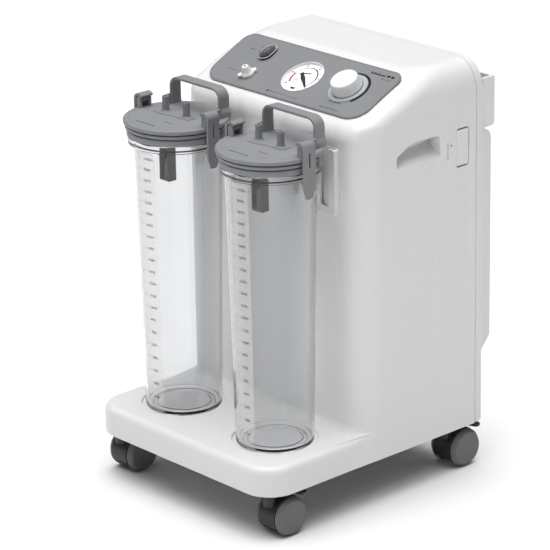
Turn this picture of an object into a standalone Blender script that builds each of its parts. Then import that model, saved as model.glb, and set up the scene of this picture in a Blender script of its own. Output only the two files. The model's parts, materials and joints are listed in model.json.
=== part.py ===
"""Portable suction pump on four twin-wheel casters, with two collection jars.

Metres, +Z up. The frame's origin is on the floor, below the middle of the
whole object. The jars and the control panel face -Y, and the width runs
along X. Depths in the constants below are counted back from the front edge
of the tray.
"""

from math import atan2, cos, pi, radians, sin, tan

import bmesh
import bpy
from mathutils import Matrix, Vector

# Whole object
WIDTH = 0.334
DEPTH = 0.397
HEIGHT = 0.542
GAP = 0.0003            # air between pieces that touch

# Casing
BASE_Z = 0.059          # lower edge of the casing
TRAY_Z = 0.097          # top of the tray that the jars stand on
BODY_FRONT = 0.161      # front wall of the body
SEAM = 0.359            # joint between front shell and rear cover
COVER_BACK = 0.3725
BAY_BACK = 0.392        # outer face of the bulged cover on the back
BAY_HALF = 0.161
HANDLE_HALF = 0.165     # half-width of the push handle
WALL = 0.003
TRAY_CORNER = 0.040
BODY_CORNER = 0.038
SHOULDER_WIDE = 0.032
SHOULDER_HIGH = 0.042

# Control panel on the sloping face
PANEL_FOOT = (0.1785, 0.4965)    # depth and height of its lower edge
PANEL_SLOPE = radians(26)
PANEL_LENGTH = 0.0937
PANEL_HALF = 0.1415
PANEL_TOP = 0.0020               # outer face of the overlay above the shell
GAUGE_AT = (0.0032, 0.0449)
GAUGE_R = 0.0287
KNOB_AT = (0.0822, 0.0470)
SWITCH_AT = (-0.0810, 0.0665)
PORT_AT = (-0.0770, 0.0240)
GAUGE_ZERO = radians(-40)        # direction of the needle at rest
KNOB_HIGH = 0.0155
STEM_R = 0.005

# Jars and lids
JAR_X = 0.086
JAR_DEPTH = 0.086
JAR_WALL = 0.0028
JAR_FOOT_R = 0.049
JAR_TOP_R = 0.0565
JAR_TOP_Z = 0.455
COLLAR_R = 0.0615
SEAT_R = 0.054
SEAT_DEEP = 0.004
LID_Z = 0.477                    # top face of the lid
LID_R = 0.0665
LATCH_PIVOT = (0.0615, 0.487)    # distance from the jar's axis, and height
LATCH_FACE = 0.067
LATCH_CURL = radians(138)        # how far a latch curls over its pin
TUBE_A = (-0.0244, 0.0043)       # lid spigot above the float cage
TUBE_B = (0.0150, 0.0039)

# Casters
WHEEL_R = 0.025
CASTER_X = 0.1405
CASTER_TRAIL = 0.019             # wheel axle behind the swivel axis
CASTER_DEPTHS = {"front": 0.0258, "rear": 0.3317}
HOOD_R = 0.0258
HOOD_HALF = 0.014
AXLE_R = 0.003

# Side grips and filter hatch, as depth and height
GRIP_DEEP = 0.022
GRIP = ((0.220, 0.433), (0.296, 0.432), (0.294, 0.4605), (0.247, 0.461), (0.220, 0.448))
HATCH = (0.3240, 0.3460, 0.413, 0.4595)
HATCH_THICK = 0.0025

ROUND = 24               # sides of a large round piece
SMALL = 12               # sides of a small round piece

WHITE = (0.80, 0.81, 0.82)
PANEL_GREY = (0.29, 0.30, 0.315)
LID_GREY = (0.30, 0.31, 0.325)
DARK_GREY = (0.08, 0.08, 0.085)
CASTER_GREY = (0.155, 0.155, 0.16)
STEEL = (0.6, 0.6, 0.62)
CLEAR = (0.9, 0.93, 0.95)

GAUGE_BODY_DEEP = 0.026
MOTOR_AT = (-0.025, 0.262, 0.128)
MOTOR_R = 0.042


def behind(depth):
    """Frame Y of a depth counted back from the tray's front edge."""
    return depth - DEPTH / 2


# ---------------------------------------------------------------- outlines

def fillet(corners, steps=4):
    """Closed outline whose corners (x, y, radius) are rounded by arcs."""
    points = []
    for index, (x, y, radius) in enumerate(corners):
        here = Vector((x, y))
        if radius == 0:
            points.append((x, y))
            continue
        back = (Vector(corners[index - 1][:2]) - here).normalized()
        ahead = (Vector(corners[(index + 1) % len(corners)][:2]) - here).normalized()
        half = back.angle(ahead) / 2
        centre = here + (back + ahead).normalized() * (radius / sin(half))
        start = here + back * (radius / tan(half)) - centre
        end = here + ahead * (radius / tan(half)) - centre
        first = atan2(start.y, start.x)
        turn = (atan2(end.y, end.x) - first + pi) % (2 * pi) - pi
        for step in range(steps + 1):
            angle = first + turn * step / steps
            points.append((centre.x + radius * cos(angle), centre.y + radius * sin(angle)))
    return points


def rectangle(x0, x1, y0, y1, radius=0.0, steps=4):
    """Outline of a rectangle with equal corner radii."""
    return fillet([(x0, y0, radius), (x1, y0, radius), (x1, y1, radius), (x0, y1, radius)], steps)


def circle(radius, centre=(0.0, 0.0), sides=SMALL):
    """Outline of a regular polygon that stands for a circle."""
    return [(centre[0] + radius * cos(2 * pi * k / sides),
             centre[1] + radius * sin(2 * pi * k / sides)) for k in range(sides)]


def stadium(half_wide, half_long, steps=8):
    """Oval with straight sides along the second axis."""
    return rectangle(-half_wide, half_wide, -half_long, half_long, half_wide * 0.999, steps)


# ------------------------------------------------------------------ solids

def point_on(axis, first, second, along):
    """3-D point from an outline's two coordinates and the one across it."""
    if axis == "X":
        return (along, first, second)
    if axis == "Y":
        return (first, along, second)
    return (first, second, along)


def loft(rings):
    """Closed solid through a row of equal rings, capped at both ends."""
    mesh = bmesh.new()
    rows = [[mesh.verts.new(point) for point in ring] for ring in rings]
    mesh.faces.new(rows[0])
    mesh.faces.new(rows[-1])
    for low, high in zip(rows, rows[1:]):
        for k in range(len(low)):
            n = (k + 1) % len(low)
            mesh.faces.new((low[k], low[n], high[n], high[k]))
    bmesh.ops.recalc_face_normals(mesh, faces=mesh.faces)
    return mesh


def prism(outline, low, high, axis="Z"):
    """Straight extrusion of an outline along X, Y or Z."""
    return loft([[point_on(axis, a, b, level) for a, b in outline] for level in (low, high)])


def turned(profile, axis="Z", sides=ROUND):
    """Solid of revolution of a closed profile of (radius, distance along)."""
    mesh = bmesh.new()
    rows = []
    for radius, along in profile:
        if radius == 0:
            rows.append([mesh.verts.new(point_on(axis, 0, 0, along))])
        else:
            rows.append([mesh.verts.new(point_on(axis, a, b, along))
                         for a, b in circle(radius, sides=sides)])
    for low, high in zip(rows, rows[1:] + rows[:1]):
        for k in range(sides):
            n = (k + 1) % sides
            corners = [low[k % len(low)], low[n % len(low)], high[n % len(high)], high[k % len(high)]]
            corners = [vert for i, vert in enumerate(corners) if vert not in corners[:i]]
            if len(corners) > 2:
                mesh.faces.new(corners)
    bmesh.ops.recalc_face_normals(mesh, faces=mesh.faces)
    return mesh


def moved(mesh, x=0.0, y=0.0, z=0.0, turn=None):
    """The same mesh, turned and then shifted."""
    matrix = Matrix.Translation((x, y, z))
    if turn:
        matrix = matrix @ Matrix.Rotation(turn[0], 4, turn[1])
    bmesh.ops.transform(mesh, matrix=matrix, verts=mesh.verts)
    return mesh


def soften(mesh, wanted, width, segments=3):
    """Round the edges whose two ends both meet a condition."""
    edges = [edge for edge in mesh.edges if all(wanted(vert.co) for vert in edge.verts)]
    bmesh.ops.bevel(mesh, geom=edges, offset=width, segments=segments, profile=0.5,
                    affect="EDGES", clamp_overlap=True)
    return mesh


# ----------------------------------------------------------------- objects

MATERIALS = {}


def material(name, colour, roughness=0.45, metallic=0.0, alpha=1.0):
    """One Principled material for each sub-part's name."""
    shader = bpy.data.materials.new(name)
    shader.use_nodes = True
    node = shader.node_tree.nodes["Principled BSDF"]
    node.inputs["Base Color"].default_value = (*colour, 1.0)
    node.inputs["Roughness"].default_value = roughness
    node.inputs["Metallic"].default_value = metallic
    node.inputs["Alpha"].default_value = alpha
    MATERIALS[name] = shader
    return shader


def thing(name, mesh, parent=None, hidden=False):
    """Object from a bmesh, optionally carried by a parent."""
    data = bpy.data.meshes.new(name)
    mesh.to_mesh(data)
    mesh.free()
    body = bpy.data.objects.new(name, data)
    bpy.context.scene.collection.objects.link(body)
    body.parent = parent
    if hidden:
        body.hide_render = True
        body.display_type = "WIRE"
    return body


def combine(body, mesh, operation, parent=None):
    """Join, cut or trim a body with another closed mesh."""
    tool = thing(body.name + "_tool", mesh, parent, hidden=True)
    step = body.modifiers.new(operation.lower(), "BOOLEAN")
    step.object = tool
    step.operation = operation
    step.solver = "EXACT"
    bpy.context.view_layer.update()
    graph = bpy.context.evaluated_depsgraph_get()
    result = bpy.data.meshes.new_from_object(body.evaluated_get(graph))
    body.modifiers.clear()
    body.data = result
    bpy.data.objects.remove(tool)
    return body


def join(body, mesh, parent=None):
    return combine(body, mesh, "UNION", parent)


def cut(body, mesh, parent=None):
    return combine(body, mesh, "DIFFERENCE", parent)


def trim(body, mesh, parent=None):
    return combine(body, mesh, "INTERSECT", parent)


def finish(body, colour, roughness=0.45, metallic=0.0, alpha=1.0, origin=None):
    """Give a body its material, smooth shading and the origin of its joint."""
    body.data.materials.clear()
    shader = MATERIALS.get(body.name) or material(body.name, colour, roughness, metallic, alpha)
    body.data.materials.append(shader)
    if origin:
        body.data.transform(Matrix.Translation(origin).inverted())
        body.location = origin
    body.data.shade_smooth()
    body.data.set_sharp_from_angle(angle=radians(30))
    return body


def copy_of(body, name, parent, turn=0.0):
    """Second object with the same mesh, turned about its parent's Z axis."""
    twin = bpy.data.objects.new(name, body.data)
    bpy.context.scene.collection.objects.link(twin)
    twin.parent = parent
    spin = Matrix.Rotation(turn, 4, "Z")
    twin.location = spin @ body.location
    twin.rotation_euler = (0, 0, turn)
    return twin


def empty(name, location, rotation=(0, 0, 0)):
    """Frame that carries a group of pieces."""
    holder = bpy.data.objects.new(name, None)
    bpy.context.scene.collection.objects.link(holder)
    holder.location = location
    holder.rotation_euler = rotation
    return holder


# ------------------------------------------------------------------ casing

def shoulder_outline(inset=0.0, foot=BASE_Z):
    """Front view of the body: flat foot, elliptical upper corners."""
    half = WIDTH / 2 - inset
    wide = SHOULDER_WIDE - inset
    high = SHOULDER_HIGH - inset
    steps = 8
    points = [(-half, foot), (half, foot)]
    for k in range(steps + 1):
        angle = pi / 2 * k / steps
        points.append((half - wide + wide * cos(angle), HEIGHT - inset - high + high * sin(angle)))
    for k in range(steps + 1):
        angle = pi / 2 * (1 - k / steps)
        points.append((-half + wide - wide * cos(angle), HEIGHT - inset - high + high * sin(angle)))
    return points


def body_solid(name, inset=0.0, rear=SEAM, foot=BASE_Z):
    """Body of the casing as the common part of its three outlines."""
    front = BODY_FRONT + inset
    rise = tan(PANEL_SLOPE)
    lift = -inset / cos(PANEL_SLOPE)
    low_z = PANEL_FOOT[1] - (PANEL_FOOT[0] - front) * rise + lift
    top_z = HEIGHT - inset
    top_depth = PANEL_FOOT[0] + (top_z - PANEL_FOOT[1] - lift) / rise
    side = fillet([(behind(front), foot, 0), (behind(rear), foot, 0), (behind(rear), top_z, 0),
                   (behind(top_depth), top_z, 0.028), (behind(front), low_z, 0.025 - inset)], 5)
    half = WIDTH / 2 - inset
    radius = BODY_CORNER - inset
    plan = fillet([(-half, behind(front), radius), (half, behind(front), radius),
                   (half, behind(rear), 0), (-half, behind(rear), 0)], 7)
    body = thing(name, prism(side, -half - 0.01, half + 0.01, "X"))
    trim(body, prism(plan, foot - 0.01, HEIGHT + 0.01, "Z"))
    trim(body, prism(shoulder_outline(inset, foot - 0.005), behind(front) - 0.01, behind(rear) + 0.01, "Y"))
    return body


def tray_mesh(inset=0.0, foot=BASE_Z, rear=0.190):
    """Rounded tray in front of the body."""
    half = WIDTH / 2 - inset
    corner = TRAY_CORNER - inset
    top = TRAY_Z - inset
    plan = fillet([(-half, behind(inset), corner), (half, behind(inset), corner),
                   (half, behind(rear), 0), (-half, behind(rear), 0)], 7)
    mesh = prism(plan, foot, top)
    return soften(mesh, lambda point: abs(point.z - top) < 1e-5, 0.009 - inset, 3)


def taken(body):
    """A body's mesh for use as a tool, with the body removed."""
    mesh = bmesh.new()
    mesh.from_mesh(body.data)
    bpy.data.objects.remove(body)
    return mesh


def grip_outline(grow=0.0):
    """Side grip's opening, as frame Y and height, grown outwards."""
    middle = Vector((sum(y for y, z in GRIP) / len(GRIP), sum(z for y, z in GRIP) / len(GRIP)))
    corners = []
    for depth, height in GRIP:
        offset = Vector((depth, height)) - middle
        spread = Vector((grow if offset.x > 0 else -grow, grow if offset.y > 0 else -grow))
        place = middle + offset + spread
        corners.append((behind(place.x), place.y, 0.004))
    return fillet(corners, 3)


def make_front_shell(panel):
    """Tray and body in one moulding, open at the back and below."""
    shell = body_solid("front_shell")
    join(shell, tray_mesh())
    cut(shell, taken(body_solid("hollow", WALL, rear=SEAM + 0.02, foot=BASE_Z - 0.02)))
    cut(shell, tray_mesh(WALL, BASE_Z - 0.02, rear=0.200))
    for side in (-1, 1):
        boss = turned([(0, TRAY_Z - SEAT_DEEP - WALL), (SEAT_R + WALL, TRAY_Z - SEAT_DEEP - WALL),
                       (SEAT_R + WALL, TRAY_Z - 0.001), (0, TRAY_Z - 0.001)], sides=ROUND)
        join(shell, moved(boss, side * JAR_X, behind(JAR_DEPTH)))
        seat = turned([(0, TRAY_Z - SEAT_DEEP), (SEAT_R, TRAY_Z - SEAT_DEEP),
                       (SEAT_R, TRAY_Z + 0.01), (0, TRAY_Z + 0.01)], sides=ROUND)
        cut(shell, moved(seat, side * JAR_X, behind(JAR_DEPTH)))
        inner = side * (WIDTH / 2 - GRIP_DEEP)
        join(shell, prism(grip_outline(WALL), inner - side * WALL, side * (WIDTH / 2 - 0.001), "X"))
        cut(shell, prism(grip_outline(), inner, side * (WIDTH / 2 + 0.01), "X"))
    for outline in (circle(GAUGE_R + 0.0004, GAUGE_AT, ROUND), circle(STEM_R + GAP, KNOB_AT),
                    circle(0.0063, PORT_AT), switch_hole()):
        cut(shell, prism(outline, -0.012, 0.010), panel)
    y0, y1, z0, z1 = HATCH
    door = fillet([(behind(y0 - 0.0004), z0 - 0.0004, 0.003), (behind(y1 + 0.0006), z0 - 0.0004, 0),
                   (behind(y1 + 0.0006), z1 + 0.0004, 0), (behind(y0 - 0.0004), z1 + 0.0004, 0.003)])
    cut(shell, prism(door, WIDTH / 2 - 0.012, WIDTH / 2 + 0.01, "X"))
    return finish(shell, WHITE, 0.32)


def make_rear_cover():
    """Dished cover that closes the back of the body."""
    front = behind(SEAM + GAP)
    back = behind(COVER_BACK)
    outer = prism(shoulder_outline(), front, back, "Y")
    cover = thing("rear_cover", soften(outer, lambda point: abs(point.y - back) < 1e-5, 0.003, 2))
    cut(cover, prism(shoulder_outline(WALL, BASE_Z + WALL), front - 0.01, back - WALL, "Y"))
    cut(cover, prism(rectangle(-0.1043, -0.0757, 0.0987, 0.1213, 0.002), front - 0.02, back + 0.02, "Y"))
    for row in range(4):
        height = 0.088 + 0.012 * row
        slot = rectangle(0.035, 0.085, height, height + 0.0038, 0.0018, 2)
        cut(cover, prism(slot, back - 0.01, back + 0.01, "Y"))
    return finish(cover, WHITE, 0.34)


def make_base_plate():
    """Steel floor plate that carries the casters and the pump."""
    inset = WALL + GAP
    half = WIDTH / 2 - inset
    corner = TRAY_CORNER - inset
    plan = fillet([(-half, behind(inset), corner), (half, behind(inset), corner),
                   (half, behind(SEAM - GAP), 0), (-half, behind(SEAM - GAP), 0)], 6)
    plate = thing("base_plate", prism(plan, BASE_Z + 0.001, BASE_Z + 0.004))
    for depth in CASTER_DEPTHS.values():
        for side in (-1, 1):
            hole = circle(STEM_R + GAP, (side * CASTER_X, behind(depth)))
            cut(plate, prism(hole, BASE_Z - 0.01, BASE_Z + 0.02))
    return finish(plate, STEEL, 0.4, 0.9)


def make_rear_bay_cover():
    """Bulged cover low on the back, with air slots."""
    front = behind(COVER_BACK + GAP)
    back = behind(BAY_BACK)
    side = fillet([(front, 0.149, 0), (back, 0.171, 0.006), (back, 0.448, 0.012), (front, 0.448, 0)])
    inner = [(front - 0.01, 0.1525), (back - 0.0025, 0.174), (back - 0.0025, 0.4445), (front - 0.01, 0.4445)]
    cover = thing("rear_bay_cover", prism(side, -BAY_HALF, BAY_HALF, "X"))
    cut(cover, prism(inner, -BAY_HALF + 0.0025, BAY_HALF - 0.0025, "X"))
    for row in range(5):
        for column in (-1, 1):
            height = 0.205 + 0.013 * row
            middle = column * 0.055
            slot = rectangle(middle - 0.031, middle + 0.031, height, height + 0.0038, 0.0018, 2)
            cut(cover, prism(slot, back - 0.008, back + 0.01, "Y"))
    return finish(cover, WHITE, 0.36)


def make_rear_handle():
    """Push handle across the back: two side plates and a grip wall."""
    half = HANDLE_HALF
    front = behind(COVER_BACK + GAP)
    back = behind(DEPTH)
    plan = fillet([(-half, front, 0), (-half, back, 0.005), (half, back, 0.005), (half, front, 0),
                   (half - 0.005, front, 0), (half - 0.005, back - 0.006, 0.004),
                   (-half + 0.005, back - 0.006, 0.004), (-half + 0.005, front, 0)], 4)
    handle = thing("rear_handle", prism(plan, 0.4515, 0.516))
    side = fillet([(front - 0.01, 0.4515, 0), (back, 0.4515, 0.009), (back, 0.516, 0.003),
                   (front - 0.01, 0.516, 0)], 4)
    trim(handle, prism(side, -0.2, 0.2, "X"))
    return finish(handle, WHITE, 0.34)


def make_power_inlet():
    """Mains inlet socket in the rear cover."""
    back = behind(COVER_BACK)
    inlet = thing("power_inlet", prism(rectangle(-0.107, -0.073, 0.096, 0.124, 0.003),
                                       back + GAP, back + 0.0025, "Y"))
    join(inlet, prism(rectangle(-0.104, -0.076, 0.099, 0.121, 0.002), back - 0.022, back + 0.001, "Y"))
    cut(inlet, prism(rectangle(-0.1015, -0.0785, 0.102, 0.118, 0.002), back - 0.018, back + 0.01, "Y"))
    for offset, height in ((-0.0065, 0.109), (0.0065, 0.109), (0.0, 0.113)):
        blade = rectangle(-0.09 + offset - 0.0008, -0.09 + offset + 0.0008, height - 0.002, height + 0.002)
        join(inlet, prism(blade, back - 0.019, back - 0.004, "Y"))
    return finish(inlet, DARK_GREY, 0.5)


def make_tube_holster():
    """Open-topped pocket on the front wall for the end of a tube."""
    back = behind(BODY_FRONT - GAP)
    front = behind(0.1523)
    holster = thing("tube_holster", prism(rectangle(0.092, 0.1275, 0.382, 0.464, 0.003, 3), front, back, "Y"))
    cut(holster, prism(rectangle(0.0945, 0.125, 0.3855, 0.480), front + 0.0022, front + 0.0072, "Y"))
    cut(holster, prism(rectangle(0.103, 0.117, 0.390, 0.480), front - 0.01, front + 0.005, "Y"))
    return finish(holster, WHITE, 0.4)


def make_filter_hatch():
    """Small door over the filter, hinged at its rear edge."""
    y0, y1, z0, z1 = HATCH
    outer = WIDTH / 2
    axis_y = behind(y1) - HATCH_THICK / 2
    axis_x = outer - HATCH_THICK / 2
    door = thing("filter_hatch", prism(fillet([
        (behind(y0), z0, 0.003), (axis_y, z0, 0), (axis_y, z1, 0), (behind(y0), z1, 0.003)]),
        outer - HATCH_THICK, outer, "X"))
    join(door, prism(circle(HATCH_THICK / 2, (axis_x, axis_y), 12), z0, z1))
    return finish(door, WHITE, 0.36, origin=(axis_x, axis_y, (z0 + z1) / 2))


# ----------------------------------------------------------- control panel

def switch_hole():
    """Oval hole for the switch body."""
    return [(SWITCH_AT[0] + x, SWITCH_AT[1] + y) for x, y in stadium(0.0091, 0.0131, 6)]


def make_control_panel(panel):
    """Printed overlay plate on the slope."""
    half = PANEL_HALF
    outline = fillet([(-half, 0, 0.026), (half, 0, 0.026),
                      (half, PANEL_LENGTH, 0.016), (-half, PANEL_LENGTH, 0.016)], 6)
    plate = thing("control_panel", prism(outline, GAP, PANEL_TOP), panel)
    for hole in (circle(GAUGE_R + 0.0004, GAUGE_AT, ROUND), circle(STEM_R + GAP, KNOB_AT),
                 circle(0.0063, PORT_AT), switch_hole()):
        cut(plate, prism(hole, -0.01, 0.01), panel)
    return finish(plate, PANEL_GREY, 0.4)


def make_gauge(panel):
    """Vacuum gauge: case, dial, needle on its spindle and lens."""
    x, y = GAUGE_AT
    bore = GAUGE_R - 0.0012
    ledge = bore - 0.0028
    deep = GAUGE_BODY_DEEP
    case = thing("gauge_case", moved(turned([
        (0, -deep), (GAUGE_R, -deep), (GAUGE_R, 0.0030), (bore, 0.0030), (bore, -0.0013),
        (ledge, -0.0013), (ledge, -deep + 0.002), (0, -deep + 0.002)]), x, y), panel)
    finish(case, WHITE, 0.3)
    dial = thing("gauge_dial", moved(turned([
        (0.0012, -0.0010), (bore - GAP, -0.0010), (bore - GAP, 0), (0.0012, 0)]), x, y), panel)
    finish(dial, (0.9, 0.9, 0.9), 0.5)
    needle = thing("gauge_needle", turned([
        (0, -0.004), (0.0009, -0.004), (0.0009, 0.0004), (0.0028, 0.0004), (0.0028, 0.0014),
        (0, 0.0014)], sides=12), panel)
    pointer = [(-0.008, -0.0008), (0.0, -0.0013), (0.0225, -0.0003), (0.0225, 0.0003),
               (0.0, 0.0013), (-0.008, 0.0008)]
    join(needle, prism(pointer, 0.0006, 0.0011), panel)
    finish(needle, DARK_GREY, 0.5)
    needle.location = (x, y, 0)
    needle.rotation_euler = (0, 0, GAUGE_ZERO)
    lens = thing("gauge_lens", moved(turned([
        (0, 0.0018), (bore - GAP, 0.0018), (bore - GAP, 0.0023), (0.015, 0.0028), (0, 0.0029)]), x, y), panel)
    finish(lens, CLEAR, 0.05, alpha=0.3)


def make_regulator(panel):
    """Vacuum regulator: valve body, knob on its stem, ring round the knob."""
    x, y = KNOB_AT
    valve = thing("regulator_valve", moved(turned([
        (0, -0.030), (0.009, -0.030), (0.009, -WALL - GAP), (STEM_R - 0.0002, -WALL - GAP),
        (STEM_R - 0.0002, 0.012), (0, 0.012)], sides=SMALL), x, y), panel)
    finish(valve, STEEL, 0.35, 0.9)
    low = PANEL_TOP + 0.0008
    knob = thing("regulator_knob", turned([
        (STEM_R + GAP, low), (0.0197, low), (0.0197, low + 0.002), (0.0180, low + 0.0135),
        (0.0160, low + 0.0152), (0, low + KNOB_HIGH), (0, 0.0125), (STEM_R + GAP, 0.0125)]), panel)
    finish(knob, WHITE, 0.3)
    knob.location = (x, y, 0)
    ring = thing("knob_scale_ring", moved(turned([
        (0.0204, PANEL_TOP + GAP), (0.0262, PANEL_TOP + GAP), (0.0258, PANEL_TOP + 0.0010),
        (0.0208, PANEL_TOP + 0.0010)]), x, y), panel)
    finish(ring, (0.5, 0.54, 0.58), 0.35)


def make_switch(panel):
    """Rocker switch under a clear splash boot."""
    x, y = SWITCH_AT
    frame = thing("switch_frame", prism(stadium(0.0100, 0.0140, 6), PANEL_TOP + GAP, 0.0045), panel)
    join(frame, prism(stadium(0.0088, 0.0128, 6), -0.018, 0.004), panel)
    cut(frame, prism(stadium(0.0080, 0.0120, 6), -0.016, 0.01), panel)
    finish(frame, DARK_GREY, 0.45)
    frame.location = (x, y, 0)
    rocker = thing("switch_rocker", prism([
        (-0.0084, -0.002), (0.0084, -0.002), (0.0084, 0.0038), (0, 0.0052), (-0.0084, 0.0062)],
        -0.006, 0.006, "X"), panel)
    join(rocker, prism(circle(0.0012, sides=10), -0.0077, 0.0077, "X"), panel)
    finish(rocker, DARK_GREY, 0.4)
    rocker.location = (x, y, 0)
    rings = []
    steps = 5
    for thick, order in ((0.0, range(steps, -1, -1)), (0.0008, range(steps + 1))):
        for k in order:
            angle = radians(80) * k / steps
            size = cos(angle)
            height = 0.0048 + (0.0075 - thick) * sin(angle)
            rings.append([(a * size, b * size, height) for a, b in
                          stadium(0.0098 - thick, 0.0138 - thick, 6)])
    boot = thing("switch_boot", loft(rings), panel)
    finish(boot, CLEAR, 0.1, alpha=0.35)
    boot.location = (x, y, 0)


def make_suction_port(panel):
    """Hose spigot held by a two-winged nut."""
    x, y = PORT_AT
    port = thing("suction_port", turned([
        (0, -0.016), (0.006, -0.016), (0.006, PANEL_TOP + GAP), (0.0092, PANEL_TOP + GAP),
        (0.0092, 0.0050), (0.0070, 0.0064), (0.0054, 0.0080), (0.0036, 0.0155), (0.0018, 0.0155),
        (0.0018, 0.008), (0, 0.008)], sides=SMALL), panel)
    wings = rectangle(-0.0125, 0.0125, -0.0036, 0.0036, 0.0033, 3)
    join(port, moved(prism(wings, PANEL_TOP + 0.001, 0.0062), turn=(radians(50), "Z")), panel)
    cut(port, turned([(0, 0.0068), (0.0018, 0.0068), (0.0018, 0.03), (0, 0.03)], sides=8), panel)
    finish(port, WHITE, 0.35)
    port.location = (x, y, 0)


# ------------------------------------------------------------ inside the body

def make_pump():
    """Motor with its fan, diaphragm pump head, filter and hose."""
    x, depth, z = MOTOR_AT
    y = behind(depth)
    motor = thing("pump_motor", moved(turned([
        (0.0035, -0.045), (0.034, -0.045), (MOTOR_R, -0.038), (MOTOR_R, 0.045), (0, 0.045),
        (0, 0.0), (0.0035, 0.0)], "X", 24), x, y, z))
    foot = rectangle(x - 0.035, x + 0.040, y - 0.040, y + 0.040, 0.006)
    join(motor, prism(foot, BASE_Z + 0.004 + GAP, z - MOTOR_R + 0.012))
    finish(motor, STEEL, 0.45, 0.7)
    fan = thing("cooling_fan", turned([
        (0, -0.062), (0.010, -0.062), (0.010, -0.048), (0.003, -0.048), (0.003, -0.004), (0, -0.004)],
        "X", 12))
    blades = 7
    for k in range(blades):
        blade = prism(rectangle(-0.061, -0.049, 0.008, 0.036), -0.0008, 0.0008)
        join(fan, moved(blade, turn=(2 * pi * k / blades, "X")))
    finish(fan, DARK_GREY, 0.5)
    fan.location = (x, y, z)
    face = x + 0.045 + GAP
    head = thing("pump_head", prism(rectangle(y - 0.034, y + 0.034, z - 0.040, z + 0.055, 0.008), face,
                                    face + 0.055, "X"))
    join(head, prism(circle(0.005, (face + 0.028, y)), z + 0.050, z + 0.068))
    finish(head, (0.45, 0.46, 0.47), 0.5, 0.6)
    filter_y = behind((HATCH[0] + HATCH[1]) / 2)
    filter_z = (HATCH[2] + HATCH[3]) / 2
    canister = thing("vacuum_filter", moved(turned([
        (0, 0.100), (0.004, 0.100), (0.004, 0.110), (0.0098, 0.112), (0.0098, 0.160), (0, 0.160)],
        "X", SMALL), 0, filter_y, filter_z))
    finish(canister, (0.7, 0.75, 0.8), 0.3)
    start = Vector((face + 0.028, y, z + 0.068 + GAP))
    end = Vector((0.100 - GAP, filter_y, filter_z))
    straight = 0.008
    low = start + Vector((0, 0, straight))
    high = end - Vector((straight, 0, 0))
    bends = [low, low + Vector((0, 0, 0.10)), high - Vector((0.06, 0, 0)), high]
    route = [start]
    count = 12
    for k in range(count):
        t = k / (count - 1)
        weights = ((1 - t) ** 3, 3 * t * (1 - t) ** 2, 3 * t * t * (1 - t), t ** 3)
        route.append(sum((w * p for w, p in zip(weights, bends)), Vector()))
    route.append(end)
    data = bpy.data.curves.new("vacuum_hose", "CURVE")
    data.dimensions = "3D"
    data.bevel_depth = 0.004
    data.bevel_resolution = 2
    data.use_fill_caps = True
    spline = data.splines.new("POLY")
    spline.points.add(len(route) - 1)
    for point, place in zip(spline.points, route):
        point.co = (*place, 1)
    hose = bpy.data.objects.new("vacuum_hose", data)
    bpy.context.scene.collection.objects.link(hose)
    data.materials.append(material("vacuum_hose", (0.75, 0.76, 0.72), 0.35))


# -------------------------------------------------------------------- jars

def jar_mesh():
    """Clear jar with a sloped wall, thick foot and a collar at its mouth."""
    floor = TRAY_Z - SEAT_DEEP + GAP
    collar = JAR_TOP_Z - 0.009
    draft = (JAR_TOP_R - JAR_FOOT_R) / (JAR_TOP_Z - floor)
    inner_foot = JAR_FOOT_R + draft * 0.008 - JAR_WALL
    return turned([
        (0, floor + 0.0015), (JAR_FOOT_R - 0.009, floor + 0.0015), (JAR_FOOT_R - 0.008, floor),
        (JAR_FOOT_R - 0.003, floor), (JAR_FOOT_R, floor + 0.003), (JAR_TOP_R, collar),
        (COLLAR_R, collar), (COLLAR_R, JAR_TOP_Z), (JAR_TOP_R - JAR_WALL, JAR_TOP_Z),
        (inner_foot, floor + 0.008), (inner_foot - 0.004, floor + 0.0045), (0, floor + 0.0045)])


def make_lid(name, parent):
    """Lid with carrying strap, two spigots and the latches' ears."""
    lid = thing(name, turned([
        (0, 0.4585), (0.0606, 0.4585), (0.0606, 0.456), (0.0625, 0.456), (0.0625, 0.4653),
        (0.0645, 0.4657), (0.0645, 0.4708), (LID_R, 0.4712), (LID_R, 0.4755), (0.065, LID_Z),
        (0, LID_Z)]), parent)
    half = 0.047
    thick = 0.0028
    foot = LID_Z - 0.001
    top = 0.5135
    strap = fillet([(-half, foot, 0), (-half, top, 0.012), (half, top, 0.012), (half, foot, 0),
                    (half - thick, foot, 0), (half - thick, top - thick, 0.012 - thick),
                    (-half + thick, top - thick, 0.012 - thick), (-half + thick, foot, 0)], 5)
    join(lid, prism(strap, 0.0304, 0.0465, "Y"), parent)
    for x, y in (TUBE_A, TUBE_B):
        spigot = turned([(0, foot), (0.0072, foot), (0.0060, LID_Z + 0.0025), (0.0046, LID_Z + 0.003),
                         (0.0042, 0.4975), (0.0018, 0.4975), (0.0018, 0.483), (0, 0.483)], sides=SMALL)
        join(lid, moved(spigot, x, y), parent)
    reach, pivot_z = LATCH_PIVOT
    for side in (-1, 1):
        for edge in (-1, 1):
            ear = fillet([(side * (reach - 0.0048), foot, 0), (side * (reach + 0.0040), foot, 0),
                          (side * (reach + 0.0042), pivot_z + 0.0042, 0.0041),
                          (side * (reach - 0.0042), pivot_z + 0.0042, 0.0041)], 4)
            join(lid, prism(ear, edge * 0.0062, edge * 0.0092, "Y"), parent)
        cut(lid, prism(circle(0.0022, (side * reach, pivot_z), 12), -0.02, 0.02, "Y"), parent)
    return finish(lid, LID_GREY, 0.42)


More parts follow.
